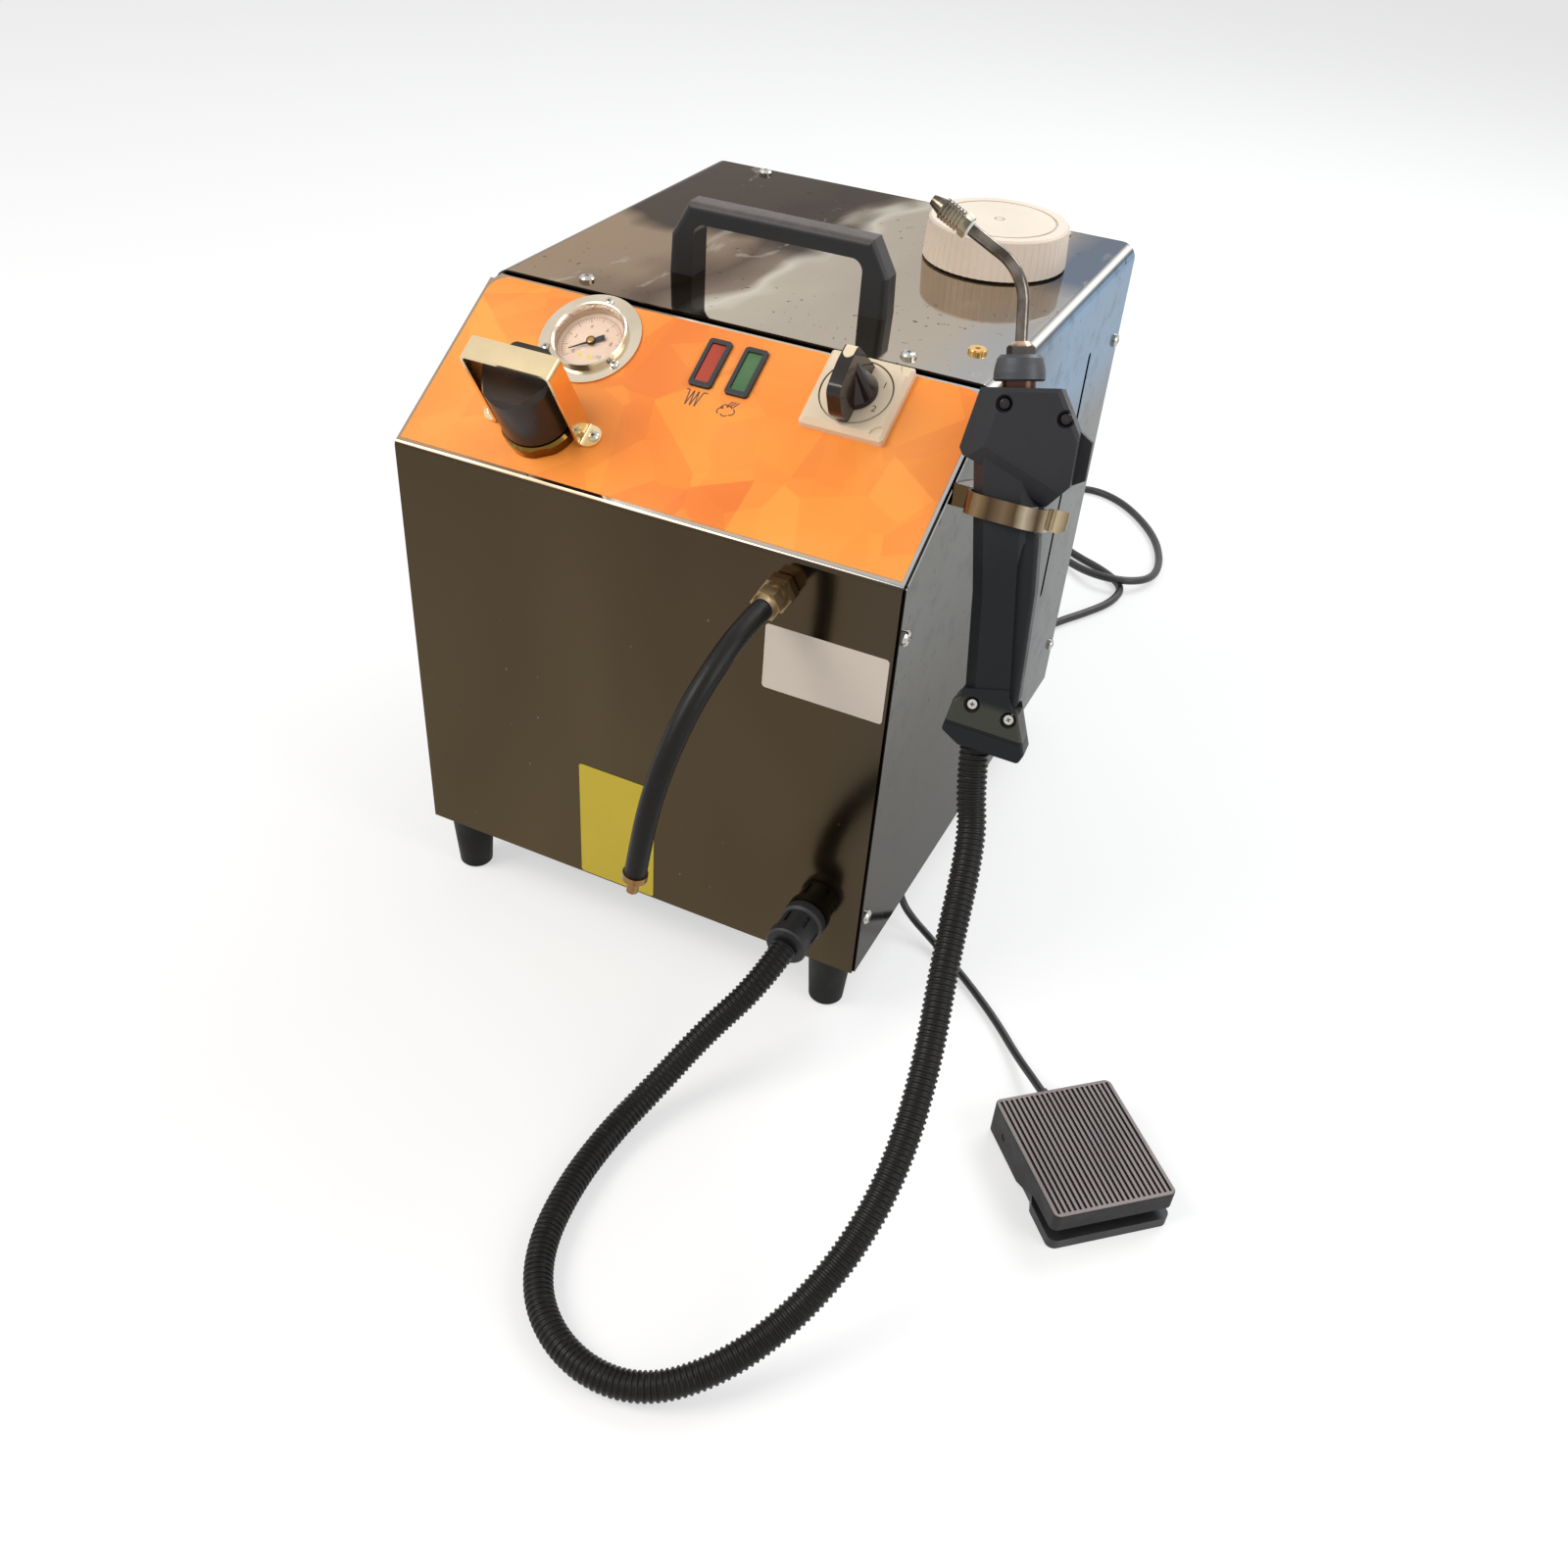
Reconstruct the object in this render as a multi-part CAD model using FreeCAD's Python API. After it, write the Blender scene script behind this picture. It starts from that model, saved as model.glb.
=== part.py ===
import FreeCAD, Part
import math
import os

# Jewelry steam cleaner: a sheet-metal cabinet with a small boiler, a water tank, a steam gun on a
# corrugated hose and a foot pedal. Millimetres, +Z up, floor at z = 0, origin under the cabinet's centre,
# operator's side at -Y.

V = FreeCAD.Vector
X = V(1, 0, 0)
Y = V(0, 1, 0)
Z = V(0, 0, 1)

# ---- cabinet
CAB_W = 310.0            # outside width
CAB_D = 380.0            # outside depth
FRONT_H = 267.5          # upright part of the front sheet
SLOPE_RUN = 107.5        # control panel, front to back
SLOPE_RISE = 66.0        # control panel, height
SHEET = 1.2              # sheet thickness
NEST = 0.1               # clearance between nested sheets
COVER_SETBACK = 2.5      # cover sides stand back from the front sheet's faces
COVER_BEND = 10.0        # outside radius of the cover's top bends
FRONT_BEND = 4.0         # outside radius where the front turns into the control panel
FLANGE = 14.0            # return flanges of the front and rear sheets
TRAY_LIP = 15.0          # upturned lip of the base tray
LEDGE_DROP = 0.8         # gap between the cover's top and the front sheet's ledge under it
LEDGE = 16.0             # depth of that ledge
REAR_INSET = 1.5         # rear panel stands in from the cover's rear edge
SIDE_SCREW_IN = 9.0      # front screws of the cover's sides, behind the front face
SIDE_SCREW_DOWN = 32.0   # upper one below the bend of the front
SIDE_SCREW_UP = 41.0     # lower one above the cabinet's underside
REAR_SCREW_DOWN = 60.0
REAR_SCREW_UP = 35.5
TOP_SCREW_X_IN = 55.0
TOP_SCREW_BACK = 12.5
TOP_REAR_X_IN = 46.4
TOP_REAR_IN = 8.0
VENT_X_IN = 26.0         # brass vent plug, in from the right side
VENT_BACK = 40.0         # and behind the cover's front edge
VENT_R = 5.2
VENT_H = 2.0
VENT_NOTCHES = 8
# ---- feet
FOOT_H = 40.5
FOOT_TOP_R = 14.0
FOOT_BOTTOM_R = 11.0
FOOT_X_IN = 21.4         # foot axis, in from the cabinet side
FOOT_Y_IN = 14.8         # foot axis, in from the cabinet front and rear
FOOT_BORE_R = 5.5
FOOT_BORE_H = 30.0
FOOT_SCREW_R = 2.0
# ---- control panel layout: x across, distances down the slope from its top edge
DECAL_T = 0.3
DECAL_MARGIN = 2.0
DECAL_CORNER = 12.0
GAUGE_X = -74.0
GAUGE_DOWN = 31.6
LAMP_DOWN = 28.5
RED_X = 0.7
LAMP_PITCH = 22.0
SWITCH_X = 87.5
SWITCH_DOWN = 27.6
FILLER_DOWN = 91.1       # boiler filler, under the gauge
# ---- gauge
GAUGE_FLANGE_R = 30.0
GAUGE_FLANGE_T = 1.2
GAUGE_CASE_R = 21.3
GAUGE_CASE_DEPTH = 25.0
GAUGE_WALL = 1.0
GAUGE_LIP = 0.2           # the rim laps over the glass
GAUGE_RIM_R = 22.8
GAUGE_RIM_H = 5.0
GAUGE_SCREW_R = 25.5
GAUGE_GLASS_T = 2.0
DIAL_DEPTH = 3.2         # dial face below the panel
DIAL_T = 0.8
NEEDLE_L = 13.4
NEEDLE_REST = 216.0     # turn of the needle with no pressure
NEEDLE_GAP = 1.2         # dial face to needle
NEEDLE_T = 0.6
SPINDLE_R = 0.8
# ---- lamps
LAMP_W = 14.0
LAMP_L = 31.5
LAMP_RIM_H = 2.0
LAMP_CORNER = 2.2
LENS_W = 8.6
LENS_L = 25.0
LENS_H = 1.2
LAMP_BODY_DEPTH = 20.0
LAMP_FIT = 0.15
# ---- selector switch
PLATE = 48.0
PLATE_H = 7.0
PLATE_EDGE = 2.5
PLATE_BEVEL = 3.2        # height of its bevelled edge
DISC_R = 19.0
DISC_GROOVE = 1.0
KNOB_HUB_R = 11.8        # foot of the flared hub
KNOB_HUB_RIM = 1.4
KNOB_FLARE = 17.0        # the hub runs out into the fin at this height
KNOB_W = 7.5             # thickness of the fin
KNOB_FOOT = 19.5         # half length of the fin at its foot
KNOB_HALF = 23.0         # half length where it is longest
KNOB_SHOULDER = 20.0     # height where the ends turn into the arch
KNOB_H = 29.8
KNOB_EDGE = 0.8
KNOB_GAP = 0.4           # knob above the plate
SHAFT_R = 3.0
SHAFT_IN_KNOB = 14.0
SHAFT_FIT = 0.05
SWITCH_BODY = 38.0
SWITCH_BODY_DEPTH = 34.0
# ---- boiler filler
COLLAR_AF = 43.2         # brass collar, across flats
COLLAR_R = 22.2          # its corners are turned down to this radius
COLLAR_H = 8.0
NECK_R = 12.0
NECK_BORE_R = 9.0
NECK_TOP = 30.0          # neck above the panel
BCAP_R = 20.7
BCAP_TOP = 43.5
BCAP_GAP = 0.5           # cap above the collar
BCAP_FIT = 0.4
SEAL_T = 2.5
BCAP_CROWN = 4.0         # height of the six-sided bevel
BCAP_BEVEL = 2.2         # its width on top
# ---- cap guard
GUARD_W = 13.5
GUARD_T = 1.8
GUARD_TOP = 57.0
GUARD_SPAN = 55.0        # outside width of the hoop
GUARD_TOE = 9.5          # foot beyond the hoop
GUARD_SCREW_IN = 4.0     # screw in from the foot's end
GUARD_BEND = 3.2
# ---- carry handle
HANDLE_HALF = 69.0
HANDLE_TOP_HALF = 57.0
HANDLE_H = 41.0
HANDLE_SHOULDER = 22.0   # height where the corner chamfer starts
HANDLE_D = 17.0
HANDLE_LEG = 16.0
HANDLE_BAR = 11.0
HANDLE_BACK = 61.0       # handle centre behind the cover's front edge
HANDLE_GRIP_R = 7.0
HANDLE_EDGE = 2.0
# ---- water tank
TANK_GAP = 3.8           # tank to the cover's right side
TANK_W = 128.0
TANK_L = 170.0
TANK_H = 200.0
TANK_WALL = 2.5
TANK_R = 12.0
TANK_REAR = 7.7          # tank to the rear panel
TANK_NECK_R = 38.0
TANK_NECK_RISE = 18.0    # neck above the cover
FILL_X_IN = 68.8         # filler axis, in from the right side
FILL_Y_IN = 85.0         # filler axis, in from the rear
NECK_FIT = 0.6
GASKET_T = 1.0
TCAP_R = 44.2
TCAP_TOP_R = 43.0
TCAP_H = 23.0
TCAP_GAP = 0.4
TCAP_WALL = 3.0
TCAP_RIBS = 60
RIB_DEPTH = 0.25
LINER_T = 1.5
SHELF_H = 100.0
# ---- water level slot in the right side
SLOT_W = 5.0
SLOT_L = 176.0
SLOT_UP = 110.5          # slot bottom above the cabinet's underside
SLOT_Y_IN = 74.0         # slot in from the rear
# ---- boiler
BOILER_R = 65.0
BOILER_H = 165.0
BOILER_CROWN = 20.0
BOILER_WALL = 2.0
BOILER_UP = 62.0         # shell bottom above the tray
BOILER_Y_IN = 95.0       # axis behind the front
PORT_R = 6.0
ELEMENT_R = 24.0
ELEMENT_FLANGE_R = 34.0
ELEMENT_ROD_R = 4.0
ELEMENT_FLANGE_T = 5.0
ELEMENT_PLUG_H = 10.0
ELEMENT_CAP_R = 16.0
ELEMENT_CAP_H = 17.0
ELEMENT_HAIRPIN = 12.0   # rod axis from the boiler's axis
ELEMENT_REACH = 70.0     # top of the hairpin above the shell's bottom
ELEMENT_BOLTS = 6
ELEMENT_BOLT_AF = 7.0
BAND_UP = 4.0            # clamp band above the shell's bottom
BAND_H = 12.0
BAND_T = 2.0
LEG_W = 18.0
LEG_TOE = 9.0
# ---- copper pipes
PIPE_R = 4.0
PIPE_WALL = 0.8
PIPE_BEND = 14.0
# ---- relief outlet on the front
RELIEF_X_IN = 68.0
RELIEF_DOWN = 22.0       # below the bend of the front
RELIEF_NUT_AF = 15.0
RELIEF_OUT = 20.0
RHOSE_R = 6.0
# ---- steam hose connector on the front
CONN_X_IN = 34.5
CONN_UP = 31.3
CONN_OUT = 29.0
CONN_R = 12.0
HOSE_R = 7.9
# ---- pedal lead and mains lead
PLEAD_R = 2.5
MLEAD_R = 3.5
COIL_R = 38.0            # middle of the hank's turns
COIL_BUNDLE_R = 8.5
PLUG_R = 18.5
PLUG_NECK_L = 22.0
# ---- foot pedal
PED_W = 73.0
PED_L = 87.0
PED_BASE_H = 7.0
PED_TOP = 25.0
PED_RISE = 1.5           # cover top is this much higher at the front
PED_WALL = 2.2
PED_SKIRT_FRONT = 12.0
PED_PIVOT_Y = 25.0
PED_PIVOT_Z = 13.0
PED_PIN_R = 2.0
PED_GROOVES = 22
PED_GROOVE_W = 1.6
PED_GROOVE_D = 1.0
PED_MARGIN = 2.4         # plain border round the grooves
PED_LOW = 2.2            # lower edge of the rear skirt
PED_STEP = -17.5         # the base narrows behind this line to stand inside the skirt
PED_FIT = 0.6
PED_TURN = 41.8
PED_X = 318.8
PED_Y = -236.2
# ---- steam gun and its clip
GUN_OFF_SIDE = 32.0      # grip axis out from the cabinet side
GUN_BACK = 49.0          # behind the front face
GUN_UP = 31.4            # clip centre above the bend of the front
CLIP_TILT = -20.0
GUN_LEAN = -12.5
GUN_SPIN = 8.0
GRIP_T = 13.5            # half thickness of the grip
HEAD_T = 16.2            # half thickness of the head
HALVES_GAP = 0.2
LANCE_R = 3.0
LANCE_BORE = 2.0
LANCE_BEND = 28.0
LANCE_ANGLE = 54.0
LANCE_RISE = 96.0       # straight part of the lance ends here
LANCE_X = 1.5
WASHER_T = 1.2
NOZZLE_FINS = 6
LANCE_TIP = 18.5         # straight part of the lance after its bend
COLLAR_Z = 60.8          # underside of the neck collar
COLLAR_L = 12.2
TRIG_T = 11.0            # half thickness of the lever
TRIG_FIT = 0.3
TRIG_PIN_R = 1.5
PIVOT_FIT = 0.05
CLIP_H = 11.0
CLIP_T = 1.2
CLIP_ROUND = 11.0        # rounded corners of the hoop
CLIP_BEND = 1.6          # the strap's other bends
CLIP_EAR = 8.8           # free ear
CLIP_FOOT_L = 38.0       # foot reaches this far behind the grip axis
CLIP_IN = 20.0           # half width inside the hoop
CLIP_FRONT = 15.9        # inside of the hoop in front of the grip axis
# ---- pan-head screws
PAN_R = 4.5
PAN_H = 2.6
SHANK_R = 2.0
SHANK_L = 8.0

# ---- sizes that follow
ZB = FOOT_H
ZF = ZB + FRONT_H
ZT = ZF + SLOPE_RISE
YF = -CAB_D / 2
YB = CAB_D / 2
XS = CAB_W / 2
TRAY_TOP = ZB + SHEET
SLOPE_DEG = math.degrees(math.atan2(SLOPE_RISE, SLOPE_RUN))
SLOPE_LEN = math.hypot(SLOPE_RISE, SLOPE_RUN)
COVER_FRONT = YF + SLOPE_RUN
INNER_X = XS - SHEET
FRONT_X = INNER_X - NEST
REAR_Y = YB - REAR_INSET
GAUGE_V = SLOPE_LEN - GAUGE_DOWN
LAMP_V = SLOPE_LEN - LAMP_DOWN
SWITCH_V = SLOPE_LEN - SWITCH_DOWN
FILLER_V = SLOPE_LEN - FILLER_DOWN
GREEN_X = RED_X + LAMP_PITCH
GUARD_FOOT = GUARD_SPAN / 2 + GUARD_TOE
GUARD_SCREW = GUARD_FOOT - GUARD_SCREW_IN
FILL_X = XS - FILL_X_IN
FILL_Y = YB - FILL_Y_IN
SHELF_Z = TRAY_TOP + SHELF_H
TANK_X1 = INNER_X - TANK_GAP
TANK_X0 = TANK_X1 - TANK_W
TANK_Y1 = REAR_Y - SHEET - TANK_REAR
TANK_Y0 = TANK_Y1 - TANK_L
TANK_Z1 = SHELF_Z + TANK_H
NECK_Z = ZT + TANK_NECK_RISE
BOILER_X = GAUGE_X
BOILER_Y = YF + BOILER_Y_IN
BOILER_Z0 = TRAY_TOP + BOILER_UP
BOILER_Z1 = BOILER_Z0 + BOILER_H
CROWN_Z = BOILER_Z1 + BOILER_CROWN
RELIEF_X = XS - RELIEF_X_IN
RELIEF_Z = ZF - RELIEF_DOWN
CONN_X = XS - CONN_X_IN
CONN_Z = ZB + CONN_UP

PANEL = FreeCAD.Placement(V(0, YF, ZF), FreeCAD.Rotation(X, SLOPE_DEG))
PEDAL = FreeCAD.Placement(V(PED_X, PED_Y, 0), FreeCAD.Rotation(Z, PED_TURN))
CLIP_AT = V(XS + GUN_OFF_SIDE, YF + GUN_BACK, ZF + GUN_UP)
TILT = FreeCAD.Rotation(X, CLIP_TILT)
CLIP = FreeCAD.Placement(CLIP_AT, TILT)
LEAN = FreeCAD.Rotation(Y, GUN_LEAN).multiply(FreeCAD.Rotation(Z, GUN_SPIN))
GUN = FreeCAD.Placement(CLIP_AT, TILT.multiply(LEAN))


# ---------------------------------------------------------------- general helpers
def placed(shape, frame):
    """Copy of a shape drawn in a local frame, set in the whole object's frame."""
    out = shape.copy()
    out.Placement = frame.multiply(out.Placement)
    return out


def point(frame, x, y, z):
    """A local point in the whole object's frame."""
    return frame.multVec(V(x, y, z))


def rod(radius, x, y, z0, z1):
    """Upright cylinder between two heights."""
    return Part.makeCylinder(radius, z1 - z0, V(x, y, z0), Z)


def bar(radius, start, length, direction):
    """Cylinder from a point along a direction."""
    return Part.makeCylinder(radius, length, V(*start), direction)


def block(x0, x1, y0, y1, z0, z1):
    return Part.makeBox(x1 - x0, y1 - y0, z1 - z0, V(x0, y0, z0))


def flat(points, plane, lo, hi):
    """Outline in a main plane, extruded between two values of the third axis."""
    if plane == "XY":
        corners = [V(a, b, lo) for a, b in points]
        push = V(0, 0, hi - lo)
    elif plane == "XZ":
        corners = [V(a, lo, b) for a, b in points]
        push = V(0, hi - lo, 0)
    else:
        corners = [V(lo, a, b) for a, b in points]
        push = V(hi - lo, 0, 0)
    return Part.Face(Part.makePolygon(corners + [corners[0]])).extrude(push)


def turned(profile, x=0.0, y=0.0):
    """Solid of revolution about an upright axis from (radius, height) points."""
    corners = [V(x + r, y, z) for r, z in profile]
    face = Part.Face(Part.makePolygon(corners + [corners[0]]))
    return face.revolve(V(x, y, 0), Z, 360)


def hexagon(across, x, y, z0, z1, turn=0.0):
    """Upright hexagonal prism, by its size across flats."""
    reach = across / math.sqrt(3)
    ring = [math.radians(turn + 60 * i) for i in range(6)]
    return flat([(x + reach * math.cos(a), y + reach * math.sin(a)) for a in ring], "XY", z0, z1)


def rounded(shape, radius, wanted):
    """Fillets the edges whose centre passes the test."""
    return shape.makeFillet(radius, [e for e in shape.Edges if wanted(e.CenterOfMass, e)])


def near(a, b, reach=0.01):
    return abs(a - b) < reach


def upright(centre, edge):
    """True for a straight edge that runs along Z."""
    a = edge.Vertexes[0].Point
    b = edge.Vertexes[-1].Point
    return abs(a.x - b.x) < 0.001 and abs(a.y - b.y) < 0.001 and abs(a.z - b.z) > 0.1


def pad(w, l, z0, z1, radius, x=0.0, y=0.0):
    """Rectangular prism with rounded upright edges, centred on x, y."""
    return rounded(pad_flat(w, l, z0, z1, x, y), radius, upright)


def pad_flat(w, l, z0, z1, x=0.0, y=0.0):
    """Rectangular prism centred on x, y."""
    return block(x - w / 2, x + w / 2, y - l / 2, y + l / 2, z0, z1)


def crown(radius, z, rise):
    """Spherical cap that closes a vessel of the given radius above z."""
    ball = (radius * radius + rise * rise) / (2 * rise)
    cap = Part.makeSphere(ball, V(0, 0, z + rise - ball))
    return cap.common(rod(radius, 0, 0, z, z + rise))


def vessel(radius, z0, z1, rise):
    """Closed upright vessel with a domed top and bottom."""
    top = crown(radius, z1, rise)
    bottom = crown(radius, -z0, rise).mirror(V(0, 0, 0), Z)
    return rod(radius, 0, 0, z0, z1).fuse([top, bottom]).removeSplitter()


def path(points, radius=None):
    """Straight runs joined by tangent arcs: one radius, one for each bend, or as large as the runs allow."""
    pts = [V(*p) for p in points]
    edges = []
    radii = []
    length = 0.0
    start = pts[0]
    for i, (a, b, c) in enumerate(zip(pts, pts[1:], pts[2:])):
        back = (a - b).normalize()
        ahead = (c - b).normalize()
        turn = math.pi - back.getAngle(ahead)
        if radius is None:
            r = 0.45 * min((a - b).Length, (c - b).Length) / math.tan(turn / 2)
        elif isinstance(radius, list):
            r = radius[i]
        else:
            r = radius
        cut = r * math.tan(turn / 2)
        inward = (back + ahead).normalize()
        first = b + back * cut
        last = b + ahead * cut
        middle = b + inward * (r / math.cos(turn / 2) - r)
        edges.append(Part.LineSegment(start, first).toShape())
        edges.append(Part.Arc(first, middle, last).toShape())
        length += (first - start).Length + r * turn
        radii.append(r)
        start = last
    edges.append(Part.LineSegment(start, pts[-1]).toShape())
    length += (pts[-1] - start).Length
    return Part.Wire(edges), length, radii


def tube(points, outer, inner=0.0, radius=None, name=""):
    """Round tube along a path; prints its radii and how its volume compares with section times length."""
    wire, length, radii = path(points, radius)
    heading = (V(*points[1]) - V(*points[0])).normalize()
    ring = Part.Wire(Part.Circle(V(*points[0]), heading, outer).toShape())
    solid = wire.makePipeShell([ring], True, False)
    section = math.pi * outer * outer
    if name:
        ratio = solid.Volume / (section * length)
        print(name, "length %.1f" % length, "least radius %.1f" % min(radii), "volume ratio %.4f" % ratio,
              "radii", " ".join("%.0f" % r for r in radii))
    if inner:
        core = Part.Wire(Part.Circle(V(*points[0]), heading, inner).toShape())
        solid = solid.cut(wire.makePipeShell([core], True, False))
    return solid


def sheet(points, plane, lo, hi, bend, t=SHEET):
    """Bent strip: mid-line drawn in a main plane, width from lo to hi along the third axis."""
    order = {"XY": (0, 1, 2), "XZ": (0, 2, 1), "YZ": (2, 0, 1)}[plane]

    def lift(a, b, c):
        return tuple((a, b, c)[i] for i in order)

    wire = path([lift(a, b, 0.0) for a, b in points], bend)[0]
    (a0, b0), (a1, b1) = points[0], points[1]
    run = math.hypot(a1 - a0, b1 - b0)
    na = -(b1 - b0) / run * t / 2
    nb = (a1 - a0) / run * t / 2
    sides = ((1, lo), (-1, lo), (-1, hi), (1, hi))
    ring = [lift(a0 + s * na, b0 + s * nb, c) for s, c in sides]
    loop = Part.makePolygon([V(*p) for p in ring + [ring[0]]])
    return wire.makePipeShell([loop], True, False)


def pan_screw(at, inward, shank=SHANK_L, head=PAN_R, high=PAN_H, core=SHANK_R):
    """Pan-head screw: the head's underside at a point, the shank inward."""
    profile = [(0, 0), (head, 0), (head, high * 0.45), (head * 0.8, high * 0.85), (head * 0.45, high),
               (0, high)]
    body = turned(profile).fuse(rod(core, 0, 0, -shank, 0)).removeSplitter()
    turn = FreeCAD.Rotation(V(0, 0, -1), inward)
    return placed(body, FreeCAD.Placement(V(*at), turn))


# ---------------------------------------------------------------- cabinet
def base_tray():
    half = FRONT_X - SHEET - NEST
    y0 = YF + SHEET + NEST
    y1 = REAR_Y - SHEET - NEST
    tray = block(-half, half, y0, y1, ZB, ZB + TRAY_LIP)
    tray = rounded(tray, 3.0, upright)
    well = block(-half + SHEET, half - SHEET, y0 + SHEET, y1 - SHEET, TRAY_TOP, ZB + TRAY_LIP)
    well = rounded(well, 1.8, upright)
    tray = tray.cut(well)
    for x, y in foot_places():
        tray = tray.cut(rod(FOOT_SCREW_R, x, y, ZB - 1, TRAY_TOP + 1))
    x, y = pedal_gland_at()
    return tray.cut(rod(3.5, x, y, ZB - 1, TRAY_TOP + 1))


def panel_holes():
    """Openings through the control panel and the decal, in the panel's frame."""
    deep = -SHEET - 2
    holes = [rod(GAUGE_CASE_R + 0.3, GAUGE_X, GAUGE_V, deep, 3)]
    for x in (RED_X, GREEN_X):
        holes.append(pad(LAMP_W - 2, LAMP_L - 2, deep, 3, 1.0, x, LAMP_V))
    holes.append(rod(SHAFT_R + 4, SWITCH_X, SWITCH_V, deep, 3))
    holes.append(rod(NECK_R + 0.3, BOILER_X, FILLER_V, deep, 3))
    for s in (-1, 1):
        holes.append(rod(SHANK_R * 0.75, BOILER_X + s * GUARD_SCREW, FILLER_V, deep, 3))
    for x, y in gauge_screw_places():
        holes.append(rod(1.25, x, y, deep, 3))
    return holes


def front_panel():
    """Upright front, control panel and ledge from one sheet, with side flanges nested in the cover."""
    h = SHEET / 2
    ledge_z = ZT - SHEET - LEDGE_DROP
    slope = math.radians(SLOPE_DEG)
    shift = h * math.tan((math.pi / 2 - slope) / 2)
    top_y = YF + SLOPE_RUN - (ZT - ledge_z) / math.tan(slope)
    lift = h * math.tan(slope / 2)
    mid = [(YF + h, ZB), (YF + h, ZF - shift), (top_y + lift, ledge_z - h), (top_y + LEDGE, ledge_z - h)]
    skin = sheet(mid, "YZ", -FRONT_X, FRONT_X, FRONT_BEND - h)
    body = [skin]
    for s in (-1, 1):
        x0, x1 = sorted((s * FRONT_X, s * (FRONT_X - SHEET)))
        rise = math.tan(slope)
        low = ZF - (SHEET / math.cos(slope) - SHEET * rise)
        under = ledge_z - SHEET
        end_y = YF + (under + SHEET / math.cos(slope) - ZF) / rise
        back = FLANGE * math.tan((math.pi / 2 - slope) / 2)
        side = [(YF + SHEET, ZB), (YF + FLANGE, ZB), (YF + FLANGE, ZF - back),
                (end_y + FLANGE, ZF - back + (end_y - YF) * rise), (end_y + FLANGE, under), (end_y, under),
                (YF + SHEET, low)]
        body.append(flat(side, "YZ", x0, x1))
    part = body[0].fuse(body[1:])
    cuts = [placed(c, PANEL) for c in panel_holes()]
    # under the cover the ledge's corners follow the cover's bends
    start = top_y - 3
    under_cover = block(-XS, XS, start, start + 40, ledge_z - 20, ZT)
    inner = block(-INNER_X, INNER_X, start - 1, start + 41, ledge_z - 30, ZT - SHEET)
    top_z = ZT - SHEET - 0.1
    inner = rounded(inner, COVER_BEND - SHEET + 0.1, lambda c, e: c.z > top_z and near(abs(c.x), INNER_X))
    cuts.append(under_cover.cut(inner))
    cuts += cover_screw_holes()
    cuts += clip_screw_holes()
    cuts.append(bar(PORT_R + 0.1, (RELIEF_X, YF - 1, RELIEF_Z), SHEET + 2, Y))
    cuts.append(bar(CONN_R - 2 + 0.1, (CONN_X, YF - 1, CONN_Z), SHEET + 2, Y))
    return part.cut(cuts)


def side_screw_places():
    """(y, z) of the screws on each cover side."""
    front = YF + SIDE_SCREW_IN
    rear = REAR_Y - FLANGE / 2
    heights = (ZF - SIDE_SCREW_DOWN, ZB + SIDE_SCREW_UP)
    rear_heights = (ZT - REAR_SCREW_DOWN, ZB + REAR_SCREW_UP)
    return [(front, z) for z in heights] + [(rear, z) for z in rear_heights]


def top_screw_places():
    front = [(s * (XS - TOP_SCREW_X_IN), COVER_FRONT + TOP_SCREW_BACK) for s in (-1, 1)]
    rear = [(s * (XS - TOP_REAR_X_IN), REAR_Y - TOP_REAR_IN) for s in (-1, 1)]
    return front + rear


def handle_y():
    return COVER_FRONT + HANDLE_BACK


def vent_place():
    return XS - VENT_X_IN, COVER_FRONT + VENT_BACK


def cover_screw_holes():
    """Bores shared by the cover and the sheets under it."""
    side = [bar(SHANK_R + 0.1, (-XS - 5, y, z), CAB_W + 10, X) for y, z in side_screw_places()]
    return side + [rod(SHANK_R + 0.1, x, y, ZT - 5, ZT + 5) for x, y in top_screw_places()]


def clip_screw_holes():
    places = [point(CLIP, 0, y, 0) for y in clip_screw_ys()]
    return [bar(1.6, (XS - 5, p.y, p.z), 10, X) for p in places]


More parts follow.
